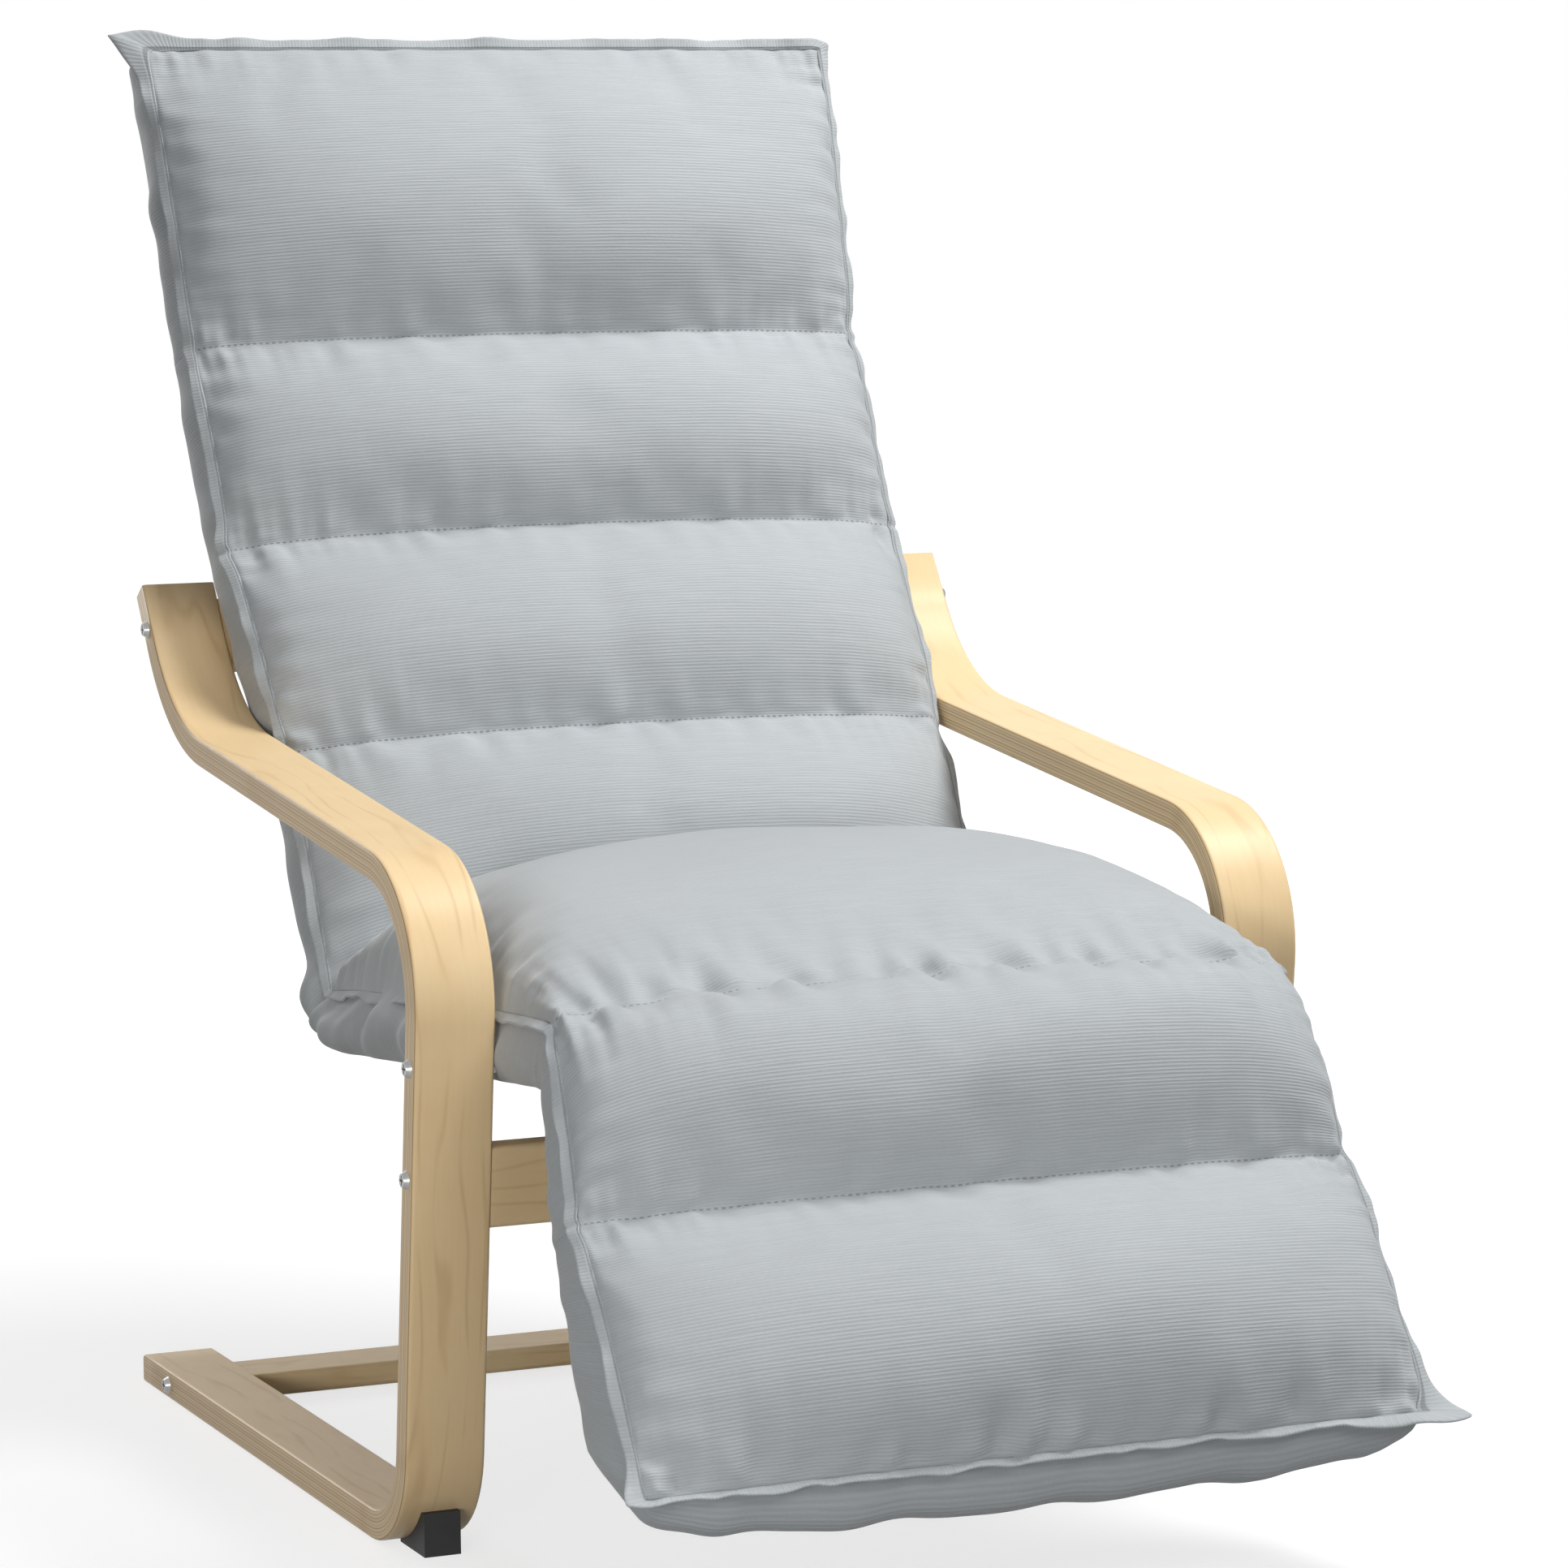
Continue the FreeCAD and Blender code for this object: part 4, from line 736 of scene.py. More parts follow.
@dataclass
class QuiltedPad:
    """The pad: front of sewn channels, side bands, ends, rear panel and a flat flange round the front.

    Every line is worked out from the tube frame's own lines: seat, back, head and leg rest in the YZ plane.
    Pairs of heights are on the side seams and in the middle of the pad, and places are counted in channels.
    """

    corner: Pair = (0.16770, 0.30793)
    seat_heading: float = 175.1
    back_heading: float = 58.0
    head_heading: float = 73.0
    rest_heading: float = 242.2
    back_straight: float = 0.455
    neck_round: float = 0.500
    hinge_reach: float = 0.46682
    rear_offset: float = 0.0146
    rear_round: float = 0.050
    rear_ease: float = 0.05
    rear_bends: tuple[Pair, ...] = ((4, 0.35), (5, 0.3))
    rear_end_reach: float = 0.252
    seam_rows: Triple = (0.552, 0.375, 0.203)
    top_reach: float = 0.791
    back_heights: Pair = (0.045, 0.068)
    crease_heights: Pair = (0.028, 0.062)
    knee_heights: Pair = (0.037, 0.053)
    knee_reach: Pair = (0.075, 0.085)
    calf_reach: float = 0.121
    calf_heights: Pair = (0.045, 0.056)
    end_reach: float = 0.312
    end_heights: Pair = (0.082, 0.088)
    end_lean: Pair = (-0.25, -0.97)
    end_drop: float = 0.044
    end_early: float = 0.6
    top_bow: float = 0.010
    end_square: float = 0.25
    end_wrinkle: Wrinkle = Wrinkle(0.04, 0.05, 31, pull=(0.5, 0.06))
    half_widths: tuple[float, ...] = (0.281, 0.273, 0.271, 0.264, 0.262, 0.269, 0.278, 0.277)
    side_shifts: tuple[float, ...] = (-0.012, -0.009, -0.006, 0.0, 0.0, 0.002, -0.002, -0.008)
    side_full: Pair = (2.5, 0.66)
    side_round: float = 1.6
    edge_rise: float = 0.005
    step: float = 0.0068
    row_slack: float = 1.12
    row_crowd: float = 0.45
    column_crowd: float = 0.86
    channels: tuple[Channel, ...] = (
        Channel("head", 0.046, 73.0, 0.52),
        Channel("shoulder", 0.036, 64.0),
        Channel("ribs", 0.036, 58.0),
        Channel("lumbar", 0.036, 62.0),
        Channel("seat", 0.067, -4.9, 0.40, 6.0, 0.68),
        Channel("calf", 0.046, 40.0, 0.47, 3.4, 0.72),
        Channel("foot", 0.050, 62.2, 0.47, 2.8),
    )
    band_rows: int = 9
    band_bow: Pair = (0.006, 0.015)
    band_lean: float = 0.004
    band_loose: Pair = (4.15, 0.5)
    cloth: SwellCloth = SwellCloth()
    swell_frames: int = 20
    swell_limit: float = 0.026
    seam_hold: float = 0.010
    pucker: Wrinkle = Wrinkle(0.0052, 0.016, 5, 0.014, (1.0, 0.15))
    pucker_strength: tuple[float, ...] = (0.6, 0.8, 0.9, 0.9, 0.3, 1.9, 1.0, 1.4)
    pucker_spread: float = 0.006
    pucker_hold: float = 0.005
    gather: Wrinkle = Wrinkle(0.0036, 0.018, 9, 0.018, (0.2, 1.0))
    slack: Wrinkle = Wrinkle(0.0012, 0.16, 3, 0.03)
    band_fold: Wrinkle = Wrinkle(0.0028, 0.060, 21, 0.012)
    band_slant: Pair = (0.6, 0.5)
    band_crease: Triple = (1.6, 4.0, 0.45)
    band_hold: float = 0.02
    lip_width: float = 0.0085
    lip_side: tuple[Pair, ...] = ((-0.16, 0.0010), (0.15, 0.0017), (0.55, 0.0010), (0.9, 0.0015), (1.0, 0.0))
    lip_uneven: Wrinkle = Wrinkle(0.0010, 0.05, 17)
    lip_waves: tuple[Wrinkle, ...] = (Wrinkle(0.00182, 0.060, 13), Wrinkle(0.0013, 0.024, 14))
    lip_scale: float = 0.011
    lip_lean: float = 0.65
    lip_away: float = 0.25
    lip_inset: int = 3
    lip_rounds: int = 6
    foot_turn: float = 58.0
    ears: Colour = (0.024, 0.008, 0.027, 0.004)
    ear_decay: float = 0.0095
    ear_rise: float = 0.4
    merge_reach: float = 1e-5
    sheet: Sheet | None = None

    def neck(self) -> Array:
        """Where the back's line meets the head's."""
        return np.array(self.corner) + direction(self.back_heading) * self.back_straight

    def hinge(self) -> Array:
        """Where the leg rest folds."""
        return np.array(self.corner) + direction(self.seat_heading) * self.hinge_reach

    def half_fold(self) -> float:
        """Half the angle between seat and back, in radians."""
        return math.radians((self.seat_heading - self.back_heading) / 2)

    def fold(self) -> Array:
        """Direction from the corner of seat and back towards the sitter."""
        return direction((self.seat_heading + self.back_heading) / 2)

    def knee(self, turn: float = 0.0) -> Array:
        """Direction of the pad as it passes over the knee, turned by an angle in degrees."""
        return direction((self.seat_heading + self.rest_heading) / 2 + turn)

    def line(self, heading: float, start: Array, reach: float, height: float) -> Array:
        """A point along a frame line and off it, towards the sitter."""
        ahead = direction(heading)
        normal = np.array([-ahead[1], ahead[0]])
        side = 1.0 if heading < 90 else -1.0
        return start + ahead * reach + normal * (height * side)

    def back_points(self, heights: Sequence[float]) -> list[Array]:
        """Points at the top and at the three back seams, at given heights off the frame's lines."""
        corner, neck = np.array(self.corner), self.neck()
        return [
            self.line(self.head_heading, neck, self.top_reach - self.back_straight, heights[0]),
            self.line(self.head_heading, neck, self.seam_rows[0] - self.back_straight, heights[1]),
            self.line(self.back_heading, corner, self.seam_rows[1], heights[1]),
            self.line(self.back_heading, corner, self.seam_rows[2], heights[1]),
        ]

    def seam_points(self, share: float) -> Array:
        """The eight cross seams in the YZ plane, from the top flange to the foot flange.

        Args:
            share: 0 on the side seams and 1 in the middle of the pad.

        Returns:
            Points 8 by 2.
        """
        corner, hinge = np.array(self.corner), self.hinge()
        crease = between(self.crease_heights, share) / math.sin(self.half_fold())
        points = [
            *self.back_points((self.back_heights[0], between(self.back_heights, share))),
            corner + self.fold() * crease,
            hinge + self.knee(-90) * between(self.knee_heights, share),
            self.line(self.rest_heading, hinge, self.calf_reach, between(self.calf_heights, share)),
            self.line(self.rest_heading, hinge, self.end_reach, between(self.end_heights, share)),
        ]
        return np.array(points)

    def rear_points(self) -> Array:
        """Rear points opposite the cross seams."""
        corner, hinge = np.array(self.corner), self.hinge()
        back, sine = -self.rear_offset, math.sin(self.half_fold())
        bend = math.radians((self.rest_heading - self.seat_heading) / 2)
        points = [
            *self.back_points((back, back)),
            corner - self.fold() * (self.rear_offset / sine - self.rear_round * (1 / sine - 1)),
            hinge - self.knee(-90) * (self.rear_offset / math.cos(bend)),
            self.line(self.rest_heading, hinge, self.calf_reach, back),
            self.line(self.rest_heading, hinge, self.rear_end_reach, back),
        ]
        return np.array(points)

    def rear_neck(self) -> tuple[Array, Array]:
        """The rear line round the bend between back and head, as an arc.

        Returns:
            Places, counted in channels, and points.
        """
        turn = math.radians(self.head_heading - self.back_heading)
        before = self.back_straight - self.neck_round * math.tan(turn / 2)
        start = np.array(self.corner) + direction(self.back_heading) * before
        centre = start + self.neck_round * direction(self.back_heading + 90)
        bends = np.linspace(0.9, 0.1, 5)
        away = math.radians(self.back_heading) + turn * bends - math.pi / 2
        stops = centre + (self.neck_round + self.rear_offset) * np.stack([np.cos(away), np.sin(away)], 1)
        reach = before + self.neck_round * turn * bends
        return 2 - (reach - self.seam_rows[1]) / (self.seam_rows[0] - self.seam_rows[1]), stops

    def rear_curve(self, row: Array) -> Array:
        """The rear line at given places: straight, and a mean over nearby places where it is bent.

        Args:
            row: Places from 0 at the top to 7 at the foot.

        Returns:
            Points in YZ.
        """
        points = self.rear_points()
        half = self.half_fold()
        tangent = (self.rear_round + self.rear_offset) / math.tan(half)
        corner = np.array(self.corner) - self.fold() * (self.rear_offset / math.sin(half))
        before = corner + direction(self.back_heading) * tangent
        after = corner + direction(self.seat_heading) * tangent
        neck_rows, neck_stops = self.rear_neck()
        ends = [4 - tangent / self.seam_rows[2], 4, 4 + tangent / self.hinge_reach, 5, 6, 7]
        marks = np.concatenate([[0, 1], neck_rows, [2, 3], ends])
        parts = [points[:2], neck_stops, points[2:4], before[None], points[4:5], after[None], points[5:]]
        stops = np.concatenate(parts)
        shifts = np.linspace(-self.rear_ease, self.rear_ease, 7)
        nearby = np.clip(row[:, None] + shifts, 0, 7)
        eased = np.stack([np.interp(nearby, marks, stops[:, axis]).mean(1) for axis in (0, 1)], -1)
        exact = np.stack([np.interp(row, marks, stops[:, axis]) for axis in (0, 1)], -1)
        near_bend = sum(bell(row, *bend) for bend in self.rear_bends)
        return exact + (eased - exact) * np.clip(near_bend, 0, 1)[:, None]

    def front(self) -> tuple[Array, Array, Array]:
        """The front face as a grid over the pad's length and width.

        Each channel is the chord between its two seams plus a rounded crown, both fuller towards the middle.

        Returns:
            Grid of points, place of each row counted in channels, and the fabric length of each row.
        """
        columns = 2 * round(self.half_widths[3] / self.step) + 1
        crowd = math.pi / 2 * self.column_crowd
        across = np.sin(np.linspace(-1, 1, columns) * crowd) / math.sin(crowd)
        full = (1 - np.abs(across) ** self.side_full[0]) ** self.side_full[1]
        sides, middles = self.seam_points(0.0), self.seam_points(1.0)
        seam = sides[:, None] + (middles - sides)[:, None] * full[:, None]
        lengths = np.linalg.norm(np.diff(middles, axis=0), axis=1)
        blocks, places = [], []
        for index, channel in enumerate(self.channels):
            even = np.linspace(0, 1, round(lengths[index] * self.row_slack / self.step) + 1)
            share = even + self.row_crowd * (0.5 - 0.5 * np.cos(math.pi * even) - even)
            if index < len(self.channels) - 1:
                share = share[:-1]
            chord = seam[index] + (seam[index + 1] - seam[index]) * share[:, None, None]
            bent = share ** (math.log(0.5) / math.log(channel.peak))
            crown = (1 - (2 * bent - 1) ** 2) ** channel.swell
            sideways = (1 - np.abs(across) ** channel.flat) ** (self.side_round / channel.flat)
            lift = crown[:, None] * (self.edge_rise + (channel.crown - self.edge_rise) * sideways)
            width = np.interp(index + share, np.arange(8), self.half_widths)
            shift = np.interp(index + share, np.arange(8), self.side_shifts)
            block = np.empty((len(share), columns, 3))
            block[..., 0] = across * width[:, None] + shift[:, None]
            block[..., 1:] = chord + lift[..., None] * direction(channel.up + 90.0)
            blocks.append(block)
            places.append(index + share)
            LOG.debug("%s channel: %d rows", channel.name, len(share))
        grid = np.concatenate(blocks)
        return grid, np.concatenate(places), run_length(grid[:, columns // 2, 1:])

    def band(self, grid: Array, row: Array, side: int) -> Array:
        """One side band: straight from the flange seam to the rear edge, and bowed outwards as a half sine.

        Args:
            grid: The front face.
            row: Place of each row, counted in channels.
            side: -1 for the right edge and 1 for the left one.

        Returns:
            Grid of points without its first column, which is the front's own edge.
        """
        edge = grid[:, 0 if side < 0 else -1]
        share = np.linspace(0, 1, self.band_rows + 1)[1:]
        block = np.empty((len(row), self.band_rows, 3))
        block[..., 1:] = edge[:, None, 1:] + (self.rear_curve(row) - edge[:, 1:])[:, None] * share[:, None]
        loose = bell(row, *self.band_loose)[:, None]
        bow = between(self.band_bow, loose) * np.sin(math.pi * share) + self.band_lean * (loose - 1) * share
        block[..., 0] = edge[:, None, 0] + side * bow
        return block

    def shell(self) -> tuple[Array, Array, Array, Array, Array]:
        """Front and side bands as one open mesh, ready to swell.

        Returns:
            Vertices, quads, pin weights, fabric coordinates, and the place of each row counted in channels.
        """
        grid, row, cloth = self.front()
        right, left = self.band(grid, row, -1), self.band(grid, row, 1)
        sheet = np.concatenate([right[:, ::-1], grid, left], axis=1)
        rows, columns = sheet.shape[:2]
        weave = np.stack(np.broadcast_arrays(run_length(sheet[rows // 3]), cloth[:, None]), -1)
        low, high = self.band_rows, columns - 1 - self.band_rows
        seams = np.flatnonzero(np.isclose(row, np.round(row)))
        pin = np.zeros((rows, columns))
        pin[seams, low : high + 1] = 1.0
        pin[:, [0, low, high, columns - 1]] = 1.0
        self.sheet = Sheet(rows, columns, low, high, seams)
        quads = grid_faces(rows, columns)[:, ::-1]
        return sheet.reshape(-1, 3), quads, pin.ravel(), weave.reshape(-1, 2), row

    def swollen(self, points: Array, faces: Array, pin: Array) -> Array:
        """Swell the shell with cloth pressure, held on its seams, no point moving further than the limit.

        Args:
            points: Vertices before.
            faces: Quads.
            pin: Weight 1 on sewn vertices.

        Returns:
            Vertices after.
        """
        scene = bpy.context.scene
        mesh = bpy.data.meshes.new("pad_swell")
        mesh.from_pydata(points.tolist(), [], faces.tolist())
        thing = bpy.data.objects.new("pad_swell", mesh)
        scene.collection.objects.link(thing)
        held = thing.vertex_groups.new(name="sewn")
        held.add(np.flatnonzero(pin > 0.5).tolist(), 1.0, "REPLACE")
        cloth = thing.modifiers.new("swell", "CLOTH")
        for key, value in asdict(self.cloth).items():
            setattr(cloth.settings, key, value)
        cloth.settings.vertex_group_mass = held.name
        cloth.settings.effector_weights.gravity = 0.0
        cloth.collision_settings.use_collision = False
        cloth.point_cache.frame_start = 1
        cloth.point_cache.frame_end = self.swell_frames
        for step in range(1, self.swell_frames + 1):
            scene.frame_set(step)
        result = thing.evaluated_get(bpy.context.evaluated_depsgraph_get()).to_mesh()
        moved = np.empty(len(points) * 3)
        result.vertices.foreach_get("co", moved)
        scene.frame_set(1)
        bpy.data.objects.remove(thing)
        shift = self.eased(moved.reshape(-1, 3) - points)
        far = np.linalg.norm(shift, axis=1, keepdims=True)
        return points + shift * (self.swell_limit * np.tanh(far / self.swell_limit) / np.maximum(far, TINY))

    def eased(self, shift: Array) -> Array:
        """Even out a swell from point to point, and hold it back beside the cross seams.

        Args:
            shift: Movement of each vertex of the shell.

        Returns:
            The eased movement.
        """
        moves = self.sheet.grid(shift)
        for axis in (0, 1, 0, 1):
            around = np.pad(moves, [(1, 1) if side == axis else (0, 0) for side in range(3)], mode="edge")
            before, after = (np.take(around, np.arange(moves.shape[axis]) + k, axis) for k in (0, 2))
            moves = 0.25 * before + 0.5 * moves + 0.25 * after
        steps = np.min(np.abs(np.arange(self.sheet.rows)[:, None] - self.sheet.seams), axis=1)
        hold = 1 - fade(steps * self.step, self.seam_hold)
        return (moves * hold[:, None, None]).reshape(-1, 3)

    def seam_gaps(self, weave: Array) -> Array:
        """Fabric distance of every shell vertex from each cross seam, as rows by columns by seams."""
        cloth = self.sheet.grid(weave)[..., 1]
        return np.abs(cloth[..., None] - cloth[self.sheet.seams, self.sheet.columns // 2])

    def puckered(self, points: Array, row: Array, weave: Array) -> Array:
        """Add wrinkles along the surface's normals: puckers square to the seams, and folds on the side bands.

        Each set of waves is held to nothing on the seams themselves, and fades away from them.

        Args:
            points: Vertices of the shell.
            row: Place of each row, counted in channels.
            weave: Fabric coordinates.

        Returns:
            Vertices after.
        """
        low, high = self.sheet.low, self.sheet.high
        grid = self.sheet.grid(points)
        normal = unit(np.cross(np.gradient(grid, axis=0), np.gradient(grid, axis=1)))
        wide, cloth = np.moveaxis(self.sheet.grid(weave), 2, 0)
        distance = self.seam_gaps(weave)
        gap = np.min(distance, axis=2)
        strength = np.array(self.pucker_strength)[np.argmin(distance, axis=2)]
        edge = np.minimum(np.abs(wide - wide[:, [low]]), np.abs(wide - wide[:, [high]]))
        pucker = self.pucker.waves(wide, cloth) * strength * (1 - fade(gap, self.pucker_hold))
        pucker = pucker * fade(gap, self.pucker.reach + self.pucker_spread * strength)
        gather = self.gather.waves(wide, cloth) * fade(edge, self.gather.reach)
        gather = gather * (1 - fade(edge, self.pucker_hold))
        slack = self.slack.waves(wide, cloth) * (1 - fade(gap, self.slack.reach))
        slack = slack * (1 - fade(edge, self.slack.reach))
        slant, cross = self.band_slant
        band = self.band_fold.waves(wide * slant + cloth * cross, cloth - wide * cross)
        extra, crease, width = self.band_crease
        rear = np.minimum(wide - wide[:, [0]], wide[:, [-1]] - wide)
        band = band * (1 + extra * bell(row, crease, width)[:, None])
        band = band * (1 - fade(edge, self.band_fold.reach)) * (1 - fade(rear, self.band_hold))
        height = band.copy()
        height[:, low : high + 1] = (pucker + gather + slack)[:, low : high + 1]
        return (grid + normal * height[..., None]).reshape(-1, 3)

    def rear_panel(self, points: Array) -> tuple[Array, Array]:
        """The flat rear panel between the two rear edges, with the bowed ends that close the pad.

        Args:
            points: Vertices of the finished shell.

        Returns:
            Vertices and quads of the rear panel and both ends, counted from zero.
        """
        low, high = self.sheet.low, self.sheet.high
        grid = self.sheet.grid(points)
        count = high - low + 1
        share = np.linspace(0, 1, count)
        panel = grid[:, :1] + (grid[:, -1:] - grid[:, :1]) * share[:, None]
        vertices, faces = [panel.reshape(-1, 3)], [grid_faces(len(grid), count)[:, ::-1]]
        depth = np.linspace(0, 1, self.band_rows + 1)[:, None]
        top = direction(self.head_heading) * self.top_bow
        foot = np.array(self.end_lean) * self.end_drop
        quads = grid_faces(self.band_rows + 1, count)
        for row, outward, early, turn in ((0, top, 1.0, 1), (len(grid) - 1, foot, self.end_early, -1)):
            front = grid[row, low : high + 1]
            end = front + (panel[row] - front) * depth[..., None]
            end[:, 0] = grid[row, low::-1]
            end[:, -1] = grid[row, high:]
            bow = np.sin(math.pi * depth**early) * np.sin(math.pi * share) ** self.end_square
            rough = replace(self.end_wrinkle, seed=self.end_wrinkle.seed + row)
            end[..., 1:] += (bow * (1 + rough.waves(share[None], depth)))[..., None] * outward
            faces.append(quads[:, ::turn] + sum(map(len, vertices)))
            vertices.append(end.reshape(-1, 3))
        return np.concatenate(vertices), np.concatenate(faces)

    def flange_sides(self, grid: Array, inset: int) -> list[Array]:
        """The flange seam's sides: right, foot, left and top, or lines further in on the front face."""
        low, high = self.sheet.low, self.sheet.high
        return [
            grid[:, low + inset],
            grid[-1 - inset, low + 1 : high],
            grid[::-1, high - inset],
            grid[inset, high - 1 : low : -1],
        ]

    def flange_path(self, points: Array) -> tuple[Array, Array, Array]:
        """The flange seam as a closed loop, with the direction that the flange stands out in.

        The sides lean sideways and back, the ends along the pad, and the corners point out as ears.

        Args:
            points: Vertices of the finished shell.

        Returns:
            Loop of points, outward directions, and nearness to the four corners.
        """
        grid = self.sheet.grid(points)
        sides = self.flange_sides(grid, 0)
        loop = np.concatenate(sides)
        away = unit(loop - np.concatenate(self.flange_sides(grid, self.lip_inset)))
        right = unit(grid[:, 0] - sides[0]) * self.lip_lean + (-1, 0, 0)
        left = unit(grid[::-1, -1] - sides[2]) * self.lip_lean + (1, 0, 0)
        foot, top = direction(self.rest_heading - self.foot_turn), direction(self.head_heading)
        foot_end = np.broadcast_to((0, *foot), sides[1].shape)
        top_end = np.broadcast_to((0, *top), sides[3].shape)
        out = np.concatenate([right, foot_end, left, top_end]) + self.lip_away * away
        for _ in range(self.lip_rounds):
            out = (np.roll(out, 1, 0) + out + np.roll(out, -1, 0)) / 3
        near = fade(self.corner_gaps(loop), self.ear_decay)
        tips = np.array([(-1, *top), (-1, *foot), (1, *foot), (1, *top)]) * (1, self.ear_rise, self.ear_rise)
        out = unit(out) * (1 - near.max(1, keepdims=True)) + near @ tips
        return loop, unit(out), near

    def corner_gaps(self, loop: Array) -> Array:
        """Distance along the flange seam from each of its points to the four corners, N by 4."""
        rows, across = self.sheet.rows, self.sheet.high - self.sheet.low
        length = run_length(loop)
        corners = length[[0, rows - 1, rows + across - 1, 2 * rows + across - 2]]
        apart = np.abs(length[:, None] - corners)
        return np.minimum(apart, length[-1] - apart)

    def flange(self, points: Array) -> tuple[Array, Array, Array]:
        """The flat sewn flange: a thin closed profile carried round the loop, with a wavy free edge.

        The profile is one side's shares of the width and heights, and the same mirrored.

        Args:
            points: Vertices of the finished shell.

        Returns:
            Vertices, quads and fabric coordinates.
        """
        loop, out, near = self.flange_path(points)
        flat = unit(np.cross(unit(np.roll(loop, -1, 0) - np.roll(loop, 1, 0)), out))
        length = run_length(loop)
        still = np.zeros_like(length)
        wavy = sum(wrinkle.waves(length, still) for wrinkle in self.lip_waves)
        broad = self.lip_width + self.lip_uneven.waves(length, still) + near @ np.array(self.ears)
        side = np.array(self.lip_side)
        along, thick = np.concatenate([side, side[-2::-1] * (1, -1)]).T
        reach = along * broad[:, None]
        lift = thick + wavy[:, None] * np.clip(along, 0, 1)
        body = loop[:, None] + out[:, None] * reach[..., None] + flat[:, None] * lift[..., None]
        rows, columns = body.shape[:2]
        faces = grid_faces(rows + 1, columns, wrap=True) % (rows * columns)
        weave = np.stack(np.broadcast_arrays(along * self.lip_scale, length[:, None]), -1)
        return body.reshape(-1, 3), faces, weave.reshape(-1, 2)

    def build(self, finish: bpy.types.Material) -> list[bpy.types.Object]:
        """Make the whole pad as one piece, curved over the knee.

        Args:
            finish: The fabric.

        Returns:
            The pad.
        """
        points, faces, pin, weave, row = self.shell()
        points = self.swollen(points, faces, pin)
        points = self.puckered(points, row, weave)
        rear, rear_faces = self.rear_panel(points)
        lip, lip_faces, lip_weave = self.flange(points)
        first, second = len(points), len(points) + len(rear)
        quads = np.concatenate([faces, rear_faces + first, lip_faces + second])
        rear_weave = np.stack([rear[:, 0], np.hypot(rear[:, 1], rear[:, 2])], 1)
        cloth = np.concatenate([weave, rear_weave, lip_weave]).astype(np.float32)
        pad = mesh_object("quilted_pad", np.concatenate([points, rear, lip]), quads.tolist(), finish)
        mesh = pad.data
        corner_vertex = np.empty(len(mesh.loops), int)
        mesh.loops.foreach_get("vertex_index", corner_vertex)
        mesh.uv_layers.new(name="weave").data.foreach_set("uv", cloth[corner_vertex].ravel())
        # Coordinates for the stitch dashes, and a flag for the painted shadow line along the flange seam.
        stitch = np.zeros((len(mesh.vertices), 3))
        stitch[:first, 0] = np.min(self.seam_gaps(weave), axis=2).ravel()
        stitch[:first, 1] = weave[:, 0]
        stitch[first:second, 0] = 1.0
        stitch[second:, :2] = lip_weave
        stitch[second:, 2] = 1.0
        store_vectors(mesh, "stitch", stitch)
        turn_outwards(pad, self.merge_reach)
        smooth = pad.modifiers.new("smooth", "SUBSURF")
        smooth.levels = smooth.render_levels = 1
        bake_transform(pad)
        nodes = (
            "back_cushion",
            "seat_cushion",
            "knee_fold",
            "legrest_cushion",
            "seat_back_cover",
            "legrest_cover",
        )
        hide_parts(*nodes)
        return [pad]


@dataclass
class Fittings:
    """The solids that show as they are: rails, bolts, feet, and the frame inside the pad."""

    slots: dict[str, WoodFinish | PlainFinish] = field(
        default_factory=lambda: {
            "birch_ply": WoodFinish("rail_birch", GrainSource.RAIL),
            "zinc_steel": PlainFinish("zinc_plate", (0.34, 0.34, 0.335), 1.0, 0.30),
            "black_rubber": PlainFinish("foot_rubber", (0.012, 0.012, 0.012), 0.0, 0.62),
            "dark_tube": PlainFinish("tube_paint", (0.03, 0.03, 0.033), 0.0, 0.4),
            "hinge_steel": PlainFinish("hinge_plate", (0.42, 0.42, 0.43), 1.0, 0.42),
            "plug_plastic": PlainFinish("plug_black", (0.02, 0.02, 0.02), 0.0, 0.5),
            "webbing_fabric": PlainFinish("webbing_weave", (0.06, 0.06, 0.06), 0.0, 0.85, 400.0),
            "blue_grey_fabric": PlainFinish("plain_cover", (0.46, 0.485, 0.50), 0.0, 0.85, 300.0),
        }
    )

    def dress(self) -> list[bpy.types.Object]:
        """Give every solid its slot's finish.

        Returns:
            The solids.
        """
        made = {slot: finish.make() for slot, finish in self.slots.items()}
        solids = []
        for part in frame["record"]["subparts"]:
            thing = frame["nodes"][part["node"]]
            thing.data.materials.clear()
            thing.data.materials.append(made[part["material_slot"]])
            solids.append(thing)
        return solids


@dataclass(frozen=True)
class Lamp:
    """A soft rectangular lamp: power in watts, size, place, aim, and the angle of its spread in degrees."""

    name: str
    power: float
    size: Pair
    place: Triple
    aim: Triple
    spread: float = 180.0

    def hang(self) -> None:
        """Add the lamp to the scene."""
        light = bpy.data.lights.new(self.name, "AREA")
        light.shape = "RECTANGLE"
        light.size, light.size_y = self.size
        light.energy = self.power
        light.spread = math.radians(self.spread)
        thing = bpy.data.objects.new(self.name, light)
        thing.location = self.place
        thing.rotation_euler = (Vector(self.aim) - Vector(self.place)).to_track_quat("-Z", "Y").to_euler()
        bpy.context.scene.collection.objects.link(thing)


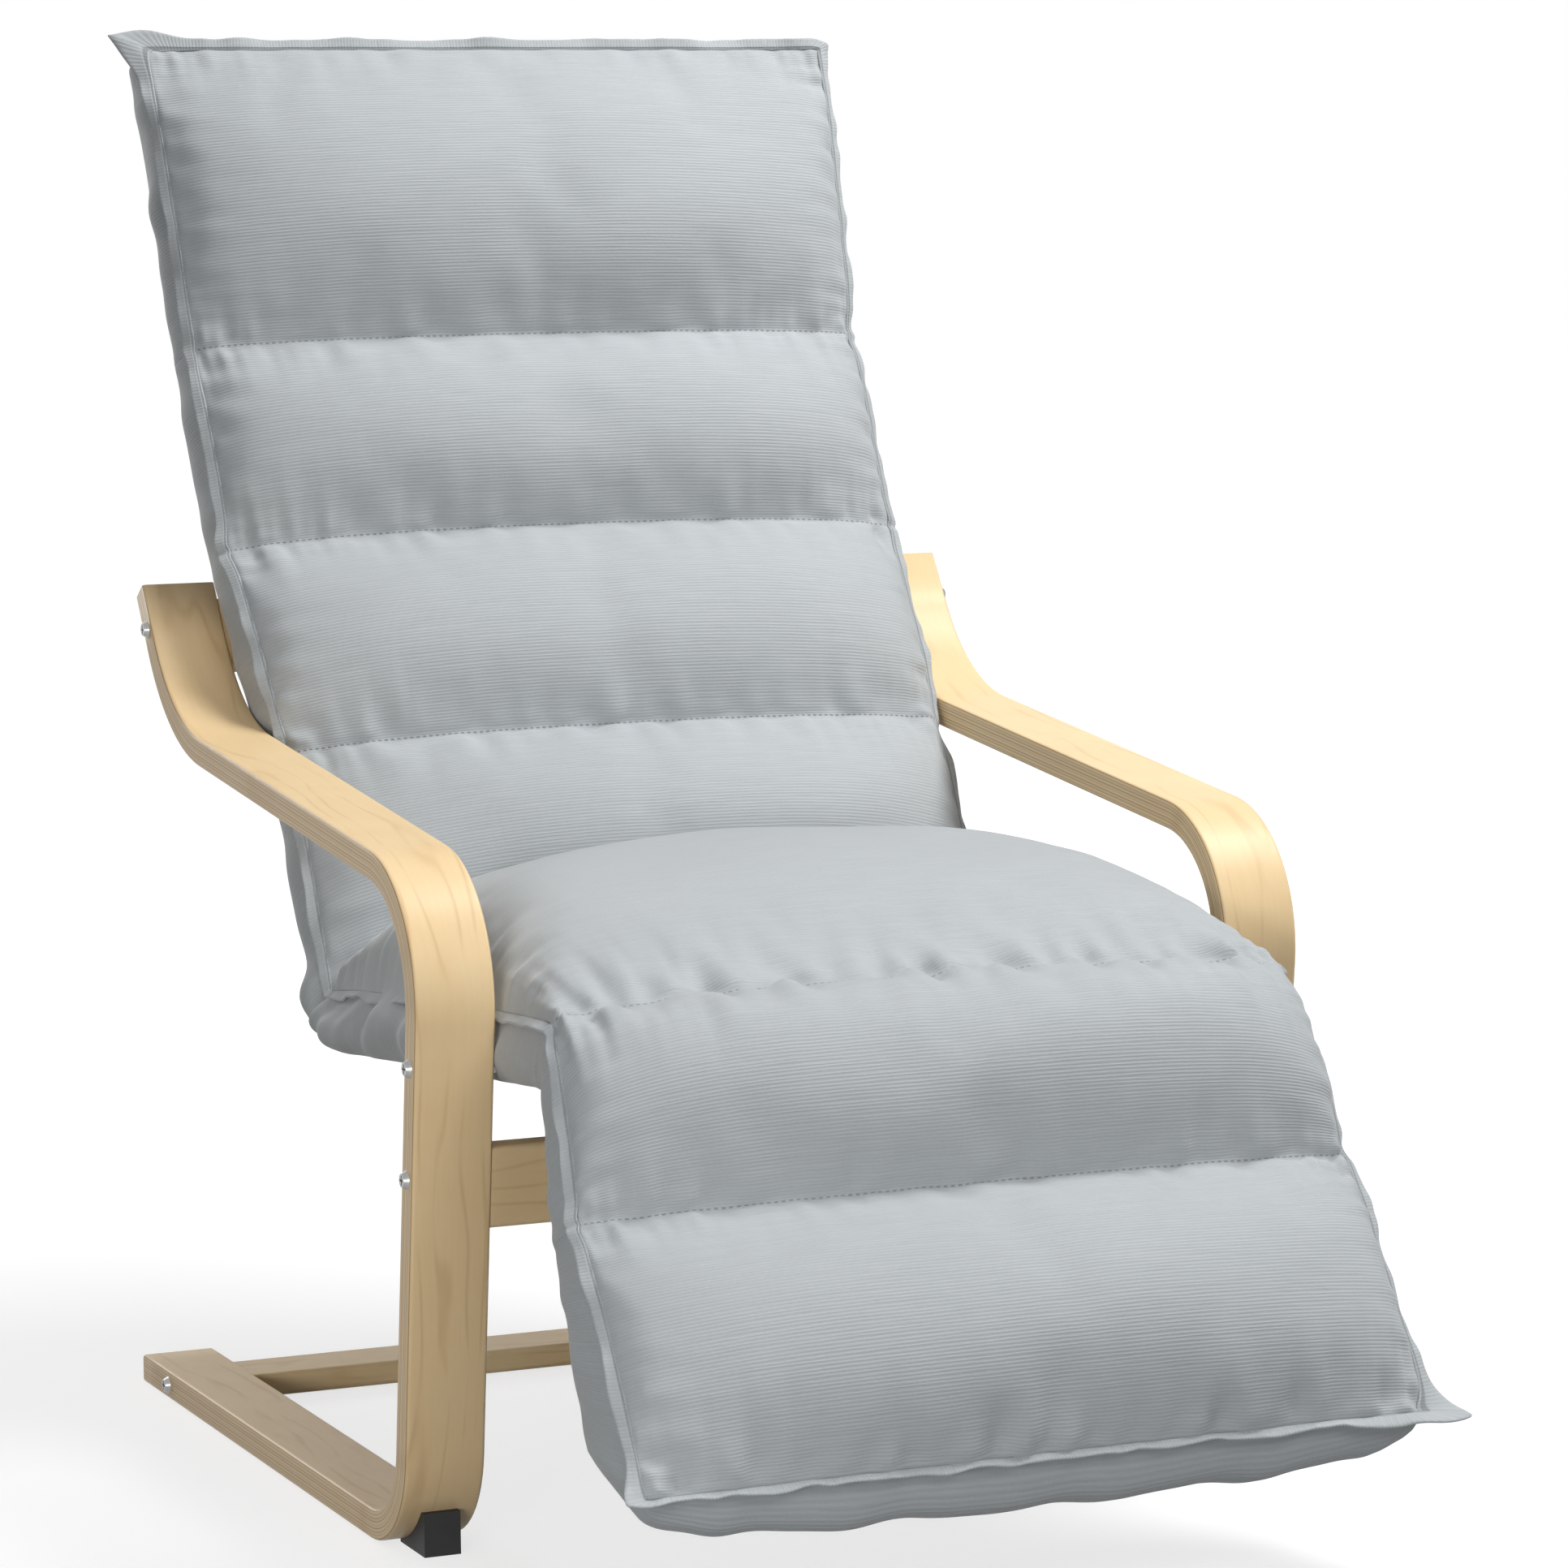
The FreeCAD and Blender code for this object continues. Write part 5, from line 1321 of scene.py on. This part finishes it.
@dataclass
class Studio:
    """Floor, light and camera."""

    floor_size: float = 40.0
    floor_grey: float = 0.24
    shadow_grey: float = 0.36
    glow: float = 0.72
    fade: Pair = (0.9, 3.2)
    sky: float = 0.15
    eye: Triple = (-1.4944, -3.5799, 0.9264)
    yaw: float = 23.56
    pitch: float = 6.0
    roll: float = 0.0105
    lens: float = 124.47
    sensor: float = 36.0
    shift: Pair = (-0.0265, -0.0245)
    far: float = 100.0
    lamps: tuple[Lamp, ...] = (
        Lamp("key", 104.0, (1.5, 1.3), (1.45, -0.5, 3.3), (0.0, -0.05, 0.5)),
        Lamp("fill", 32.0, (1.6, 1.2), (0.1, -3.4, 2.4), (-0.1, 0.0, 0.35)),
        Lamp("rear", 16.0, (1.4, 0.8), (-0.7, 2.3, 1.1), (-0.1, 0.2, 0.0)),
        Lamp("low", 2.6, (1.0, 0.5), (-1.9, -2.1, 0.45), (-0.25, 0.05, 0.16), 60.0),
    )

    def floor(self) -> None:
        """A wide white floor that keeps a soft shadow: it glows for the camera, and more further away."""
        half = self.floor_size / 2
        corners = np.array([(-half, -half, 0), (half, -half, 0), (half, half, 0), (-half, half, 0)], float)
        paint = Palette("studio_floor")
        plain, soft = (
            paint.add("ShaderNodeBsdfDiffuse", {}, {"Color": (grey, grey, grey, 1.0)})
            for grey in (self.floor_grey, self.shadow_grey)
        )
        away = paint.add("ShaderNodeVectorMath", {"operation": "LENGTH"}, {0: paint.place()}, "Value")
        near = (self.glow, self.glow, self.glow, 1.0)
        bright = paint.mix(away.ramp(*self.fade), near, (1.0, 1.0, 1.0, 1.0))
        glow = paint.add("ShaderNodeEmission", {}, {"Color": bright})
        lit = paint.add("ShaderNodeAddShader", {}, {0: soft, 1: glow})
        shown = paint.add("ShaderNodeMixShader", {}, {0: paint.seen(), 1: plain, 2: lit})
        paint.feed(paint.tree.nodes["Material Output"], {"Surface": shown})
        mesh_object("studio_floor", corners, [[0, 1, 2, 3]], paint.material)

    def world(self) -> None:
        """A white surround for the camera and a soft sky for the object."""
        world = bpy.data.worlds.new("studio")
        world.use_nodes = True
        bpy.context.scene.world = world
        nodes = Nodes(world.node_tree)
        strength = nodes.seen() * (1.0 - self.sky) + self.sky
        nodes.feed(nodes.tree.nodes["Background"], {"Color": (1.0, 1.0, 1.0, 1.0), "Strength": strength})

    def camera(self) -> None:
        """The photograph's own viewpoint."""
        yaw, pitch = math.radians(self.yaw), math.radians(self.pitch)
        ahead = Vector((math.sin(yaw) * math.cos(pitch), math.cos(yaw) * math.cos(pitch), -math.sin(pitch)))
        right = Vector((math.cos(yaw), -math.sin(yaw), 0.0))
        down = ahead.cross(right)
        tilt = math.cos(self.roll), math.sin(self.roll)
        across = right * tilt[0] + down * tilt[1]
        below = down * tilt[0] - right * tilt[1]
        data = bpy.data.cameras.new("photo_view")
        data.lens = self.lens
        data.sensor_width = data.sensor_height = self.sensor
        data.shift_x, data.shift_y = self.shift
        data.clip_end = self.far
        thing = bpy.data.objects.new("photo_view", data)
        thing.matrix_world = Matrix((across, -below, -ahead)).transposed().to_4x4()
        thing.location = self.eye
        bpy.context.scene.collection.objects.link(thing)
        bpy.context.scene.camera = thing

    def build(self) -> None:
        """Set up the whole studio."""
        bpy.context.scene.view_settings.view_transform = "Standard"
        self.floor()
        self.world()
        for lamp in self.lamps:
            lamp.hang()
        self.camera()


def report(pieces: Sequence[bpy.types.Object]) -> None:
    """Log each piece's name, faces and finish."""
    for piece in pieces:
        LOG.info("%s: %d faces in %s", piece.name, len(piece.data.polygons), piece.data.materials[0].name)


def main() -> None:
    """Build and dress every piece in order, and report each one."""
    logging.basicConfig(level=logging.INFO, format="%(name)s: %(message)s")
    report(Fittings().dress())
    report(BentStrips().build(WoodFinish("strip_birch", GrainSource.STRIP).make()))
    report(QuiltedPad().build(FabricFinish("pad_fabric").make()))
    Studio().build()


if __name__ == "__main__":
    main()
